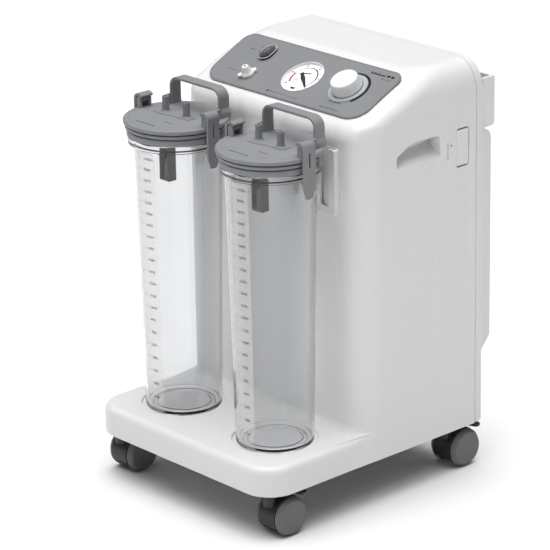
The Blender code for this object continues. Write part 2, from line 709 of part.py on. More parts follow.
def make_latch(name, parent):
    """Over-hanging latch: curl over the pin, barrel, trunnions, strap and hook."""
    reach, pivot_z = LATCH_PIVOT
    face = LATCH_FACE
    thick = 0.003
    outer_r = face + thick - reach
    inner_r = face - reach
    bends = [LATCH_CURL * k / 9 for k in range(10)]
    curl = [(reach + outer_r * cos(bend), pivot_z + outer_r * sin(bend)) for bend in bends]
    curl += [(reach + inner_r * cos(bend), pivot_z + inner_r * sin(bend)) for bend in reversed(bends)]
    latch = thing(name, prism(circle(0.0038, (reach, pivot_z), 12), -0.0058, 0.0058, "Y"), parent)
    join(latch, prism(circle(0.0018, (reach, pivot_z), 12), -0.0090, 0.0090, "Y"), parent)
    strap = fillet([(-0.0095, pivot_z, 0), (-0.0095, 0.437, 0), (-0.0045, 0.425, 0.002),
                    (0.0045, 0.425, 0.002), (0.0095, 0.437, 0), (0.0095, pivot_z, 0)], 3)
    join(latch, prism(strap, face, face + thick, "X"), parent)
    join(latch, prism(curl, -0.0095, 0.0095, "Y"), parent)
    join(latch, prism(rectangle(-0.0058, 0.0058, pivot_z, 0.4905), reach, face + 0.001, "X"), parent)
    join(latch, prism(rectangle(-0.0060, 0.0060, 0.4408, 0.4452), 0.0595, face + 0.001, "X"), parent)
    cut(latch, prism(rectangle(-0.0016, 0.0016, 0.464, 0.481), face - 0.001, face + 0.01, "X"), parent)
    return finish(latch, LID_GREY, 0.42, origin=(reach, 0, pivot_z))


def make_float_cage(name, parent):
    """Square tube under the lid, with a window, that guides the float."""
    x, y = TUBE_A
    half_x, half_y = 0.0095, 0.0065
    low, high = 0.388, 0.4582
    cage = thing(name, prism(rectangle(x - half_x, x + half_x, y - half_y, y + half_y, 0.0015, 2),
                             low, high), parent)
    wall = 0.0016
    bore = rectangle(x - half_x + wall, x + half_x - wall, y - half_y + wall, y + half_y - wall)
    cut(cage, prism(bore, low + 0.002, high - 0.003), parent)
    cut(cage, prism(circle(0.003, (x, y), 10), high - 0.01, high + 0.01), parent)
    cut(cage, prism(rectangle(x - 0.006, x + 0.006, low + 0.007, 0.425, 0.001, 2),
                    y - half_y - 0.01, y, "Y"), parent)
    cut(cage, prism(circle(0.0018, (x, y), 8), low - 0.01, low + 0.01), parent)
    return finish(cage, DARK_GREY, 0.5)


def make_float(name, parent):
    """Shut-off float that rises with the liquid."""
    x, y = TUBE_A
    low = 0.388 + 0.002 + GAP
    body = thing(name, moved(turned([
        (0, low), (0.0040, low), (0.0043, low + 0.002), (0.0043, low + 0.022), (0.0020, low + 0.026),
        (0, low + 0.0265)], sides=SMALL), x, y), parent)
    return finish(body, (0.85, 0.85, 0.82), 0.4)


def make_jars():
    """Two jar assemblies, each carried by its own frame."""
    for label, side in (("left", -1), ("right", 1)):
        holder = empty("jar_frame_" + label, (side * JAR_X, behind(JAR_DEPTH), 0))
        finish(thing("jar_" + label, jar_mesh(), holder), CLEAR, 0.05, alpha=0.25)
        make_lid("lid_" + label, holder)
        gasket = turned([(0.053, JAR_TOP_Z + GAP), (0.0602, JAR_TOP_Z + GAP), (0.0602, 0.4582),
                         (0.053, 0.4582)])
        finish(thing("lid_gasket_" + label, gasket, holder), DARK_GREY, 0.8)
        make_float_cage("float_cage_" + label, holder)
        make_float("float_" + label, holder)
        outer = make_latch("latch_outer_" + label, holder)
        if side < 0:
            twin = copy_of(outer, "latch_inner_" + label, holder, 0)
            outer.location = Matrix.Rotation(pi, 4, "Z") @ outer.location
            outer.rotation_euler = (0, 0, pi)
        else:
            twin = copy_of(outer, "latch_inner_" + label, holder, pi)


# ----------------------------------------------------------------- casters

def make_hood(name, parent):
    """Caster body: hood over the wheels, web between them and swivel stem."""
    axle_y, axle_z = CASTER_TRAIL, WHEEL_R
    arc = [(axle_y, axle_z)]
    steps = 12
    for k in range(steps + 1):
        angle = radians(58 + 150 * k / steps)
        arc.append((axle_y + HOOD_R * cos(angle), axle_z + HOOD_R * sin(angle)))
    hood = thing(name, prism(arc, -HOOD_HALF, HOOD_HALF, "X"), parent)
    join(hood, prism(circle(0.0085), 0.040, 0.0565), parent)
    join(hood, moved(prism(circle(0.0080), -0.003, 0.003, "X"), 0, axle_y, axle_z), parent)
    for side in (-1, 1):
        well = prism(circle(0.0223, sides=28), side * 0.003, side * 0.02, "X")
        cut(hood, moved(well, 0, axle_y, axle_z), parent)
    join(hood, prism(circle(STEM_R), 0.050, 0.068), parent)
    lug = fillet([(0.0215, 0.0478, 0), (0.0285, 0.0478, 0), (0.0285, 0.0552, 0.0025),
                  (0.0215, 0.0552, 0.0025)], 3)
    join(hood, prism(lug, -0.0037, 0.0037, "X"), parent)
    cut(hood, prism(circle(0.0018, (0.025, 0.0525), 10), -0.02, 0.02, "X"), parent)
    cut(hood, moved(prism(circle(AXLE_R + GAP), -0.02, 0.02, "X"), 0, axle_y, axle_z), parent)
    return finish(hood, CASTER_GREY, 0.5)


def wheel_mesh(side):
    """Half of the twin wheel: barrel under the hood and outer disc.

    The tread's facets touch the true wheel radius and one of them lies on
    the floor, so the wheel stands still on it.
    """
    sides = ROUND
    tread = WHEEL_R / cos(pi / sides)
    profile = [
        (AXLE_R + GAP, 0.0034), (0.0216, 0.0034), (0.0216, 0.0144), (0.0242, 0.0144), (tread, 0.0154),
        (tread, 0.0205), (0.0240, 0.0218), (0.0205, 0.0224), (0, 0.0224), (0, 0.0203),
        (AXLE_R + GAP, 0.0203)]
    wheel = turned([(radius, side * along) for radius, along in profile], "X", sides)
    return moved(wheel, turn=(pi / sides, "X"))


def make_brake(name, parent):
    """Foot lever at the back of the caster, forked round the hood's lug."""
    pivot = (0, 0.025, 0.0525)
    pedal = fillet([(-0.012, 0.0290, 0), (0.012, 0.0290, 0), (0.024, 0.0335, 0.002), (0.024, 0.0425, 0.004),
                    (-0.024, 0.0425, 0.004), (-0.024, 0.0335, 0.002)], 3)
    brake = thing(name, prism(pedal, 0.0508, 0.0540), parent)
    for side in (-1, 1):
        arm = rectangle(0.0225, 0.0300, 0.0508, 0.0542, 0.0012, 2)
        join(brake, prism(arm, side * 0.0041, side * 0.0080, "X"), parent)
    join(brake, prism(circle(0.0014, pivot[1:], 10), -0.006, 0.006, "X"), parent)
    return finish(brake, CASTER_GREY, 0.45, origin=pivot)


def make_casters():
    """Four swivelling twin-wheel casters."""
    for row, depth in CASTER_DEPTHS.items():
        for label, side in (("left", -1), ("right", 1)):
            place = row + "_" + label
            holder = empty("caster_frame_" + place, (side * CASTER_X, behind(depth), 0))
            make_hood("caster_hood_" + place, holder)
            axle = thing("caster_axle_" + place, prism(circle(AXLE_R), -0.020, 0.020, "X"), holder)
            finish(axle, STEEL, 0.3, 0.9)
            axle.location = (0, CASTER_TRAIL, WHEEL_R)
            for edge, direction in (("a", -1), ("b", 1)):
                wheel = thing("wheel_" + place + "_" + edge, wheel_mesh(direction), holder)
                finish(wheel, CASTER_GREY, 0.5)
                wheel.location = (0, CASTER_TRAIL, WHEEL_R)
            make_brake("caster_brake_" + place, holder)


def main():
    for old in list(bpy.data.objects):
        bpy.data.objects.remove(old)
    panel = empty("panel_frame", (0, behind(PANEL_FOOT[0]), PANEL_FOOT[1]), (PANEL_SLOPE, 0, 0))
    bpy.context.view_layer.update()
    make_front_shell(panel)
    make_rear_cover()
    make_base_plate()
    make_rear_bay_cover()
    make_rear_handle()
    make_power_inlet()
    make_tube_holster()
    make_filter_hatch()
    make_control_panel(panel)
    make_gauge(panel)
    make_regulator(panel)
    make_switch(panel)
    make_suction_port(panel)
    make_pump()
    make_jars()
    make_casters()


main()
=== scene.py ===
"""Looks of the suction pump: fine meshes, materials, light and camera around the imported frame."""

import json
from math import atan2, cos, pi, radians, sin, sqrt, tan

import bmesh
import bpy
from mathutils import Matrix, Vector


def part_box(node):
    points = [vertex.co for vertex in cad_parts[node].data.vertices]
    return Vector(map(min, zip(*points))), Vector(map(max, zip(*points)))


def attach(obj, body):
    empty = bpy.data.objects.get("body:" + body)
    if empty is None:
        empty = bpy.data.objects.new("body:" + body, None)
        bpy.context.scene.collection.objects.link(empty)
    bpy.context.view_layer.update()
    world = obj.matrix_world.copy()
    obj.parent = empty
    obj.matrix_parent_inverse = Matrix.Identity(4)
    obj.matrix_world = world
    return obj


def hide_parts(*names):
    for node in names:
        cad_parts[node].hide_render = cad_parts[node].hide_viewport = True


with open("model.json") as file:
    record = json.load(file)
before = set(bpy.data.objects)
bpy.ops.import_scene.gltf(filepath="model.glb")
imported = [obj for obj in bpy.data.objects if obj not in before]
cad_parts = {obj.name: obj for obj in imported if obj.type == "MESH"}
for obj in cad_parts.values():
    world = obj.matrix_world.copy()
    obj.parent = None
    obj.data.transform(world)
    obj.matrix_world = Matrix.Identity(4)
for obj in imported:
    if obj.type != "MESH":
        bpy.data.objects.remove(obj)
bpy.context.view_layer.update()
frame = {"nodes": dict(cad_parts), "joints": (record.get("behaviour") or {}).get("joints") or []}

NODES = frame["nodes"]
SHELL_LOW, SHELL_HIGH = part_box("front_shell")
JOINTS = {joint["name"]: joint for joint in frame["joints"]}

FRONT = SHELL_LOW.y  # front edge of the tray
HALF = SHELL_HIGH.x  # half of the casing's width
BASE_Z = SHELL_LOW.z
TOP_Z = SHELL_HIGH.z
SEAM_Y = SHELL_HIGH.y
GAP = 0.0003  # between pieces that meet
WALL = 0.003
PRINT = 0.00006  # thickness of anything printed

TRAY_Z = 0.097
TRAY_EDGE = 0.0095  # radius of the tray's upper edge
TRAY_CORNER = 0.04
SEAT_DEEP = 0.004  # jar seats in the tray
BODY_FRONT = FRONT + 0.161
BODY_CORNER = 0.038  # round of the body's front corners, below the slope
CORNER_WIDE = 0.024  # the same corners beside the slope
CORNER_DEEP = 0.05
CORNER_FROM = 0.44  # heights between which they change
CORNER_TO = 0.508
FLARE = 0.01  # hollow round between tray and front wall
SHOULDER_WIDE = 0.032
SHOULDER_HIGH = 0.042
SLOPE = radians(26)
PANEL_FOOT = Vector((0, FRONT + 0.1785, 0.4965))
PANEL_LENGTH = 0.0937
PANEL_HALF = 0.1415
PANEL_TOP = 0.002

JAR_Y = FRONT + 0.086
JAR_X = 0.086
WHEEL_R = 0.025


def behind(depth):
    """Frame Y of a depth counted back from the tray's front edge."""
    return FRONT + depth


# ---- outlines

def fillet(corners, steps=8):
    """Closed outline whose corners (x, y, radius) are rounded by arcs."""
    points = []
    for index, (x, y, radius) in enumerate(corners):
        here = Vector((x, y))
        if radius == 0:
            points.append((x, y))
            continue
        back = (Vector(corners[index - 1][:2]) - here).normalized()
        ahead = (Vector(corners[(index + 1) % len(corners)][:2]) - here).normalized()
        half = back.angle(ahead) / 2
        centre = here + (back + ahead).normalized() * (radius / sin(half))
        start = here + back * (radius / tan(half)) - centre
        end = here + ahead * (radius / tan(half)) - centre
        first = atan2(start.y, start.x)
        turn = (atan2(end.y, end.x) - first + pi) % (2 * pi) - pi
        for step in range(steps + 1):
            angle = first + turn * step / steps
            points.append((centre.x + radius * cos(angle), centre.y + radius * sin(angle)))
    return points


def rectangle(x0, x1, y0, y1, radius=0.0, steps=8):
    return fillet([(x0, y0, radius), (x1, y0, radius), (x1, y1, radius), (x0, y1, radius)], steps)


def circle(radius, centre=(0.0, 0.0), sides=48):
    return [(centre[0] + radius * cos(2 * pi * k / sides),
             centre[1] + radius * sin(2 * pi * k / sides)) for k in range(sides)]


def stadium(half_wide, half_long, steps=14):
    return rectangle(-half_wide, half_wide, -half_long, half_long, half_wide * 0.999, steps)


def quarter(steps, first=0):
    """Angles of a quarter turn in even steps."""
    return [pi / 2 * k / steps for k in range(first, steps + 1)]


def smooth_step(low, high, value):
    t = min(max((value - low) / (high - low), 0.0), 1.0)
    return t * t * (3 - 2 * t)


# ---- meshes

def point_on(axis, first, second, along):
    if axis == "X":
        return (along, first, second)
    if axis == "Y":
        return (first, along, second)
    return (first, second, along)


def loft(rings):
    """Closed solid through equal rings, capped at both ends."""
    mesh = bmesh.new()
    rows = [[mesh.verts.new(point) for point in ring] for ring in rings]
    mesh.faces.new(rows[0])
    mesh.faces.new(rows[-1])
    for low, high in zip(rows, rows[1:]):
        for k in range(len(low)):
            n = (k + 1) % len(low)
            mesh.faces.new((low[k], low[n], high[n], high[k]))
    bmesh.ops.recalc_face_normals(mesh, faces=mesh.faces)
    return mesh


def prism(outline, low, high, axis="Z"):
    return loft([[point_on(axis, a, b, level) for a, b in outline] for level in (low, high)])


def turned(profile, axis="Z", sides=96):
    """Solid of revolution of a closed profile of (radius, distance along)."""
    mesh = bmesh.new()
    rows = []
    for radius, along in profile:
        if radius == 0:
            rows.append([mesh.verts.new(point_on(axis, 0, 0, along))])
        else:
            rows.append([mesh.verts.new(point_on(axis, a, b, along))
                         for a, b in circle(radius, sides=sides)])
    for low, high in zip(rows, rows[1:] + rows[:1]):
        for k in range(sides):
            n = (k + 1) % sides
            corners = [low[k % len(low)], low[n % len(low)], high[n % len(high)], high[k % len(high)]]
            corners = [vert for i, vert in enumerate(corners) if vert not in corners[:i]]
            if len(corners) > 2:
                mesh.faces.new(corners)
    bmesh.ops.recalc_face_normals(mesh, faces=mesh.faces)
    return mesh


def placed(mesh, matrix):
    bmesh.ops.transform(mesh, matrix=matrix, verts=mesh.verts)
    return mesh


def moved(mesh, x=0.0, y=0.0, z=0.0, turn=None):
    matrix = Matrix.Translation((x, y, z))
    if turn:
        matrix = matrix @ Matrix.Rotation(turn[0], 4, turn[1])
    return placed(mesh, matrix)


def added(name, data):
    """New object in the scene."""
    body = bpy.data.objects.new(name, data)
    bpy.context.scene.collection.objects.link(body)
    return body


def thing(name, mesh):
    data = bpy.data.meshes.new(name)
    mesh.to_mesh(data)
    mesh.free()
    return added(name, data)


def evaluated(body):
    """Mesh of an object as its modifiers leave it."""
    bpy.context.view_layer.update()
    graph = bpy.context.evaluated_depsgraph_get()
    return bpy.data.meshes.new_from_object(body.evaluated_get(graph))


def flatten(body):
    """Apply an object's modifiers to its mesh."""
    result = evaluated(body)
    body.modifiers.clear()
    body.data = result
    return body


def combine(body, mesh, operation):
    tool = thing(body.name + "_tool", mesh)
    step = body.modifiers.new(operation.lower(), "BOOLEAN")
    step.object = tool
    step.operation = operation
    step.solver = "EXACT"
    flatten(body)
    bpy.data.objects.remove(tool)
    return body


def join(body, shape, *span):
    """Add a mesh, or an outline drawn out between two levels."""
    return combine(body, prism(shape, *span) if span else shape, "UNION")


def cut(body, shape, *span):
    """Take away a mesh, or an outline drawn out between two levels."""
    return combine(body, prism(shape, *span) if span else shape, "DIFFERENCE")


def gather(name, meshes):
    """One piece from several separate small solids, such as printed marks."""
    whole = bmesh.new()
    for mesh in meshes:
        data = bpy.data.meshes.new("part")
        mesh.to_mesh(data)
        mesh.free()
        whole.from_mesh(data)
        bpy.data.meshes.remove(data)
    return thing(name, whole)


def shaded(body, angle=40):
    """Even shading, with edges over the angle kept sharp."""
    body.data.shade_smooth()
    body.data.set_sharp_from_angle(angle=radians(angle))
    weigh = body.modifiers.new("normals", "WEIGHTED_NORMAL")
    weigh.keep_sharp = True
    return flatten(body)


def rounded(body, width, segments=2, angle=34):
    """Softened edges and even shading on a hard-edged piece."""
    bevel = body.modifiers.new("edges", "BEVEL")
    bevel.width = width
    bevel.segments = segments
    bevel.limit_method = "ANGLE"
    bevel.angle_limit = radians(angle)
    bevel.harden_normals = False
    return shaded(flatten(body), angle)


def show(body, rides, shader, slot, *nodes):
    """Give a piece its material and body, and hide the nodes it stands for; the record slot is not used.
    """
    body.data.materials.clear()
    body.data.materials.append(shader)
    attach(body, rides)
    if nodes:
        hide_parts(*nodes)
    return body


def from_cad(node):
    """Copy of a CAD node's mesh with its flat faces whole again."""
    mesh = bmesh.new()
    mesh.from_mesh(NODES[node].data)
    bmesh.ops.remove_doubles(mesh, verts=mesh.verts, dist=1e-6)
    bmesh.ops.dissolve_limit(mesh, angle_limit=radians(0.8), verts=mesh.verts, edges=mesh.edges)
    return thing(node + "_fine", mesh)


# ---- materials

def srgb(*values):
    """Linear colour of a display colour, or of one grey value."""
    if len(values) == 1:
        values *= 3
    return tuple(v / 12.92 if v <= 0.04045 else ((v + 0.055) / 1.055) ** 2.4 for v in values)


def fill(tree, made, inputs):
    """Set a node's inputs, each to a plain value or to another node's output."""
    for key, value in inputs.items():
        if isinstance(value, bpy.types.NodeSocket):
            tree.links.new(value, made.inputs[key])
        else:
            made.inputs[key].default_value = value


def add_node(tree, kind, inputs=None, **settings):
    """New shader node with its inputs filled."""
    made = tree.nodes.new("ShaderNode" + kind)
    for key, value in settings.items():
        setattr(made, key, value)
    fill(tree, made, inputs or {})
    return made


def surface(name, colour, roughness=0.4, metallic=0.0, grain=0.00004, grain_scale=900.0,
            mottle=0.02, wear=0.0, wear_colour=None, coat=0.0, specular=0.5, brushed=None, drift=0.06):
    """Procedural finish: fine grain in the relief, drifting colour and gloss, worn edges."""
    shader = bpy.data.materials.new(name)
    shader.use_nodes = True
    tree = shader.node_tree

    def noise(source, scale, detail):
        made = add_node(tree, "TexNoise", {"Scale": scale, "Detail": detail, "Vector": source})
        return made.outputs["Fac"]

    place = add_node(tree, "TexCoord").outputs["Object"]
    source = place
    if brushed:
        source = add_node(tree, "Mapping", {"Scale": brushed, "Vector": place}).outputs["Vector"]
    dark = [c * (1 - mottle) for c in colour]
    pale = [min(c * (1 + mottle), 1.0) for c in colour]
    paint = add_node(tree, "Mix", {"A": (*dark, 1), "B": (*pale, 1), "Factor": noise(place, 14.0, 4.0)},
                 data_type="RGBA").outputs["Result"]
    if wear:
        edges = add_node(tree, "NewGeometry").outputs["Pointiness"]
        narrow = add_node(tree, "MapRange", {
            "From Min": 0.53, "From Max": 0.66, "To Max": wear, "Value": edges})
        amount = add_node(tree, "Math", {0: narrow.outputs["Result"], 1: noise(place, 160.0, 5.0)},
                      operation="MULTIPLY")
        worn = wear_colour or [min(c * 1.35 + 0.02, 1) for c in colour]
        paint = add_node(tree, "Mix", {"A": paint, "B": (*worn, 1), "Factor": amount.outputs["Value"]},
                     data_type="RGBA").outputs["Result"]
    gloss = add_node(tree, "MapRange", {
        "To Min": max(roughness - drift, 0.01), "To Max": min(roughness + drift, 1.0),
        "Value": noise(source, 38.0, 6.0)})
    relief = add_node(tree, "Bump", {
        "Strength": 0.35, "Distance": grain, "Height": noise(source, grain_scale, 3.0)})
    fill(tree, tree.nodes["Principled BSDF"], {
        "Metallic": metallic, "Coat Weight": coat, "Coat Roughness": 0.12, "Specular IOR Level": specular,
        "Base Color": paint, "Roughness": gloss.outputs["Result"], "Normal": relief.outputs["Normal"]})
    return shader


def seen_edge_on(shader, face_on, edge_on):
    """Let a piece show least where it is seen straight on."""
    tree = shader.node_tree
    facing = add_node(tree, "LayerWeight", {"Blend": 0.3}).outputs["Facing"]
    span = add_node(tree, "MapRange", {"To Min": face_on, "To Max": edge_on, "Value": facing})
    fill(tree, tree.nodes["Principled BSDF"], {"Alpha": span.outputs["Result"]})
    return shader


def clear_plastic(name, colour):
    """See-through moulded plastic, which lets the lamps' light reach what stands behind it."""
    shader = surface(name, colour, 0.02, grain=0.00001, grain_scale=60.0, mottle=0.01, drift=0.012)
    tree = shader.node_tree
    main = tree.nodes["Principled BSDF"]
    fill(tree, main, {"Transmission Weight": 1.0, "IOR": 1.46})
    ray = add_node(tree, "LightPath").outputs["Is Shadow Ray"]
    clear = add_node(tree, "BsdfTransparent", {"Color": (0.95, 0.95, 0.95, 1)}).outputs["BSDF"]
    mix = add_node(tree, "MixShader", {0: ray, 1: main.outputs["BSDF"], 2: clear})
    fill(tree, tree.nodes["Material Output"], {"Surface": mix.outputs["Shader"]})
    return shader


def thin_film(name, colour, face_on, edge_on):
    """Plain see-through sheet."""
    shader = surface(name, colour, 0.05, grain=0.000002, mottle=0.01, specular=0.3, drift=0.02)
    return seen_edge_on(shader, face_on, edge_on)


WHITE = surface("casing_white_moulding", srgb(0.875), 0.36, grain=0.00003,
                grain_scale=1400, mottle=0.008, wear=0.25, wear_colour=srgb(0.96))
PANEL = surface("panel_overlay_film", srgb(0.5, 0.505, 0.515), 0.45, grain=0.00003,
                grain_scale=2200, mottle=0.015, specular=0.35)
PANEL_EDGE = surface("panel_edge_ink", srgb(0.34, 0.345, 0.35), 0.45)
LID = surface("lid_moulding", srgb(0.51, 0.515, 0.525), 0.48, grain=0.00004, grain_scale=1300,
              mottle=0.03, wear=0.35, specular=0.35)
CAGE = surface("cage_moulding", srgb(0.3, 0.3, 0.31), 0.5, grain_scale=1200, mottle=0.05, wear=0.3)
CASTER = surface("caster_nylon", srgb(0.145, 0.145, 0.15), 0.45, grain_scale=1100, mottle=0.05, wear=0.4)
TREAD = surface("wheel_tread", srgb(0.4, 0.4, 0.41), 0.5, grain=0.00006, grain_scale=800,
                mottle=0.07, wear=0.4)
KNOB = surface("knob_gloss", srgb(0.93), 0.3, grain=0.00001, mottle=0.01, coat=0.2)
RING = surface("ring_pale", srgb(0.66, 0.68, 0.71), 0.3, mottle=0.02, coat=0.2)
DIAL = surface("dial_paint", srgb(0.96), 0.6, mottle=0.01)
INK = surface("black_ink", srgb(0.02, 0.02, 0.025), 0.5, mottle=0.05, specular=0.2)
RED_INK = surface("red_ink", srgb(0.62, 0.07, 0.1), 0.5, mottle=0.04, specular=0.2)
GREY_INK = surface("grey_ink", srgb(0.2, 0.205, 0.21), 0.5, mottle=0.05, specular=0.2)
BLACK = surface("black_moulding", srgb(0.1, 0.1, 0.11), 0.35, grain_scale=1300, mottle=0.06, wear=0.3)
STEEL = surface("plated_steel", srgb(0.72, 0.72, 0.73), 0.28, 1.0, mottle=0.05, brushed=(8, 160, 160))
ALLOY = surface("cast_alloy", srgb(0.66, 0.67, 0.68), 0.5, 1.0, grain=0.0002, grain_scale=500,
                mottle=0.08)
RUBBER = surface("seal_rubber", srgb(0.08), 0.75, mottle=0.1)
HOSE = surface("hose_silicone", srgb(0.85, 0.85, 0.81), 0.35, mottle=0.03)
FOAM = surface("float_plastic", srgb(0.4, 0.41, 0.43), 0.45, mottle=0.03)
FILTER = surface("filter_plastic", srgb(0.8, 0.85, 0.9), 0.3, mottle=0.04)
JAR = clear_plastic("jar_polycarbonate", srgb(0.92, 0.923, 0.927))
LENS = thin_film("lens_acrylic", srgb(0.95, 0.96, 0.97), 0.0, 0.05)
BOOT = seen_edge_on(surface("boot_silicone", srgb(0.6, 0.61, 0.63), 0.22, mottle=0.01, specular=0.3),
                    0.1, 0.72)
SCALE_FILM = thin_film("scale_film", srgb(0.95), 0.16, 0.4)
FLOOR_PAINT = surface("studio_floor", srgb(0.93), 0.95, mottle=0.0, specular=0.0)


# ---- casing

def slope_profile(inset=0.0):
    """Front wall, slope and top seen from the side, as (Y, Z) rising."""
    rise = tan(SLOPE)
    lift = -inset / cos(SLOPE)
    front = BODY_FRONT + inset
    low = PANEL_FOOT.z - (PANEL_FOOT.y - front) * rise + lift
    top = TOP_Z - inset
    crest = PANEL_FOOT.y + (top - PANEL_FOOT.z - lift) / rise
    corners = fillet([(front, TRAY_Z, 0), (front, low, 0.025 - inset), (crest, top, 0.028),
                      (crest + 0.05, top, 0)], 16)
    return corners[:-1]


def front_at(profile, z):
    """Y of the front profile at a height."""
    for (y0, z0), (y1, z1) in zip(profile, profile[1:]):
        if z <= z1:
            return y0 + (y1 - y0) * (z - z0) / max(z1 - z0, 1e-9)
    return profile[-1][0]


def side_at(z, inset=0.0):
    """Half-width of the body at a height, drawn in by the shoulders."""
    wide = SHOULDER_WIDE - inset
    high = SHOULDER_HIGH - inset
    over = max(z - (TOP_Z - inset - high), 0.0) / high
    return HALF - inset - wide * (1 - sqrt(max(1 - min(over, 1.0) ** 2, 0.0)))


def mirrored(half_ring, z):
    """Closed ring from its right half, which runs from the back to the middle of the front."""
    right = [(x, y, z) for x, y in half_ring]
    left = [(-x, y, z) for x, y in reversed(half_ring[:-1])]
    return right + left


BACK_POINTS = 4  # along each side of a ring
RING_POINTS = 36  # from there to the middle of the front
ARC_POINTS = 20  # of these, in the body's corner


def body_ring(z, front, half, wide, deep, rear):
    """Ring of the body at a height: straight sides, elliptical front corners, flat front."""
    start = front + deep
    points = [(half, rear + (start - rear) * k / BACK_POINTS) for k in range(BACK_POINTS)]
    for angle in quarter(ARC_POINTS)[:-1]:
        points.append((half - wide + wide * cos(angle), start - deep * sin(angle)))
    rest = RING_POINTS - ARC_POINTS
    for k in range(rest + 1):
        points.append(((half - wide) * (1 - k / rest), front))
    return mirrored(points, z)


def tray_ring(z, inset, rear):
    """Ring of the tray at a height, whose edge round fades out along the body."""
    meet = BODY_FRONT + BODY_CORNER
    points = [(HALF, rear + (meet - rear) * k / BACK_POINTS) for k in range(BACK_POINTS)]
    side_steps = 10
    corner_steps = 16
    front_steps = RING_POINTS - side_steps - corner_steps
    corner_y = FRONT + TRAY_CORNER
    for k in range(side_steps):
        y = meet + (corner_y - meet) * k / side_steps
        fade = 1 - smooth_step(BODY_FRONT - 0.006, meet, y)
        points.append((HALF - inset * fade, y))
    radius = TRAY_CORNER - inset
    for angle in quarter(corner_steps)[:-1]:
        points.append((HALF - inset - radius + radius * cos(angle), corner_y - radius * sin(angle)))
    for k in range(front_steps + 1):
        points.append(((HALF - TRAY_CORNER) * (1 - k / front_steps), FRONT + inset))
    return mirrored(points, z)


def wall_rings(levels, profile, inset, rear):
    """Rings of the body above the tray, or of its inside, at the given heights."""
    corner = BODY_CORNER - inset
    for z in sorted(levels):
        blend = smooth_step(CORNER_FROM, CORNER_TO, z)
        wide = corner + (CORNER_WIDE - BODY_CORNER) * blend
        deep = corner + (CORNER_DEEP - BODY_CORNER) * blend
        yield body_ring(z, front_at(profile, z), side_at(z, inset), wide, deep, rear)


def casing_rings():
    """Rings of tray and body, from the lower rim to the flat top."""
    rings = [tray_ring(BASE_Z, 0.0007, SEAM_Y), tray_ring(BASE_Z + 0.0007, 0, SEAM_Y)]
    for angle in quarter(10):
        rings.append(tray_ring(TRAY_Z - TRAY_EDGE + TRAY_EDGE * sin(angle),
                               TRAY_EDGE * (1 - cos(angle)), SEAM_Y))
    for angle in quarter(10):
        flare = FLARE * (1 - sin(angle))
        z = TRAY_Z + FLARE * (1 - cos(angle))
        if angle == 0:
            z += 0.00002  # keeps this ring off the tray's last one
        rings.append(body_ring(z, BODY_FRONT - flare, HALF, BODY_CORNER, BODY_CORNER + flare, SEAM_Y))
    profile = slope_profile()
    levels = {round(z, 6) for _, z in profile if z > TRAY_Z + FLARE + 0.01}
    levels |= {round(TOP_Z - SHOULDER_HIGH + SHOULDER_HIGH * sin(angle), 6) for angle in quarter(22)}
    levels |= {round(CORNER_FROM + 0.006 * k, 6) for k in range(9)}
    return rings + list(wall_rings(levels, profile, 0.0, SEAM_Y))


def hollow_rings():
    """Inside of the body, open below and at the back."""
    profile = slope_profile(WALL)
    rear = SEAM_Y + 0.02
    high = SHOULDER_HIGH - WALL
    levels = {round(z, 6) for _, z in profile if z > TRAY_Z + 0.001}
    levels |= {round(TOP_Z - WALL - high * (1 - sin(angle)), 6) for angle in quarter(10)}
    corner = BODY_CORNER - WALL
    foot = body_ring(BASE_Z - 0.02, BODY_FRONT + WALL, HALF - WALL, corner, corner, rear)
    return [foot] + list(wall_rings(levels, profile, WALL, rear))


PANEL_FRAME = Matrix.Translation(PANEL_FOOT) @ Matrix.Rotation(SLOPE, 4, "X")
GAUGE_AT = (0.0032, 0.0449)
GAUGE_R = 0.0287
KNOB_AT = (0.0822, 0.047)
STEM_R = 0.005
SWITCH_AT = (-0.081, 0.0665)
PORT_AT = (-0.077, 0.024)
GRIP = ((0.22, 0.433), (0.296, 0.432), (0.294, 0.4605), (0.247, 0.461), (0.22, 0.448))
GRIP_DEEP = 0.022
HATCH = (0.324, 0.346, 0.413, 0.4595)


def on_panel(mesh, x=0.0, y=0.0):
    """Move a mesh from panel coordinates onto the slope."""
    return placed(mesh, PANEL_FRAME @ Matrix.Translation((x, y, 0)))


def set_on_panel(body, x, y, turn=0.0):
    """Move a finished object from its own axis onto the slope."""
    body.data.transform(PANEL_FRAME @ Matrix.Translation((x, y, 0)) @ Matrix.Rotation(turn, 4, "Z"))


def panel_holes(low, high):
    """Cutters for everything that passes through the slope."""
    switch = [(SWITCH_AT[0] + x, SWITCH_AT[1] + y) for x, y in stadium(0.0091, 0.0131)]
    for outline in (circle(GAUGE_R + 0.0002, GAUGE_AT, 96), circle(STEM_R + GAP, KNOB_AT),
                    circle(0.0063, PORT_AT), switch):
        yield on_panel(prism(outline, low, high))


def grip_cutter(side, grow=0.0, outer=0.01):
    """Grip recess: deep at its top, with a floor that slopes up and in."""
    corners = [(behind(depth), height, 0.004) for depth, height in GRIP]
    middle_y = sum(y for y, z, r in corners) / len(corners)
    middle_z = sum(z for y, z, r in corners) / len(corners)
    corners = [(y + (grow if y > middle_y else -grow), z + (grow if z > middle_z else -grow), r)
               for y, z, r in corners]
    face = fillet(corners, 8)
    inner = [(y, max(z, 0.447 - grow)) for y, z in face]
    inner_x = side * (HALF - GRIP_DEEP)
    rings = [[(inner_x - side * grow, y, z) for y, z in inner],
             [(side * (HALF - 0.0012), y, z) for y, z in face],
             [(side * (HALF + outer), y, z) for y, z in face]]
    return loft(rings)


def cut_side(shell, outline, depth):
    """Cut an outline into the right side wall."""
    cut(shell, outline, HALF - depth, HALF + 0.01, "X")


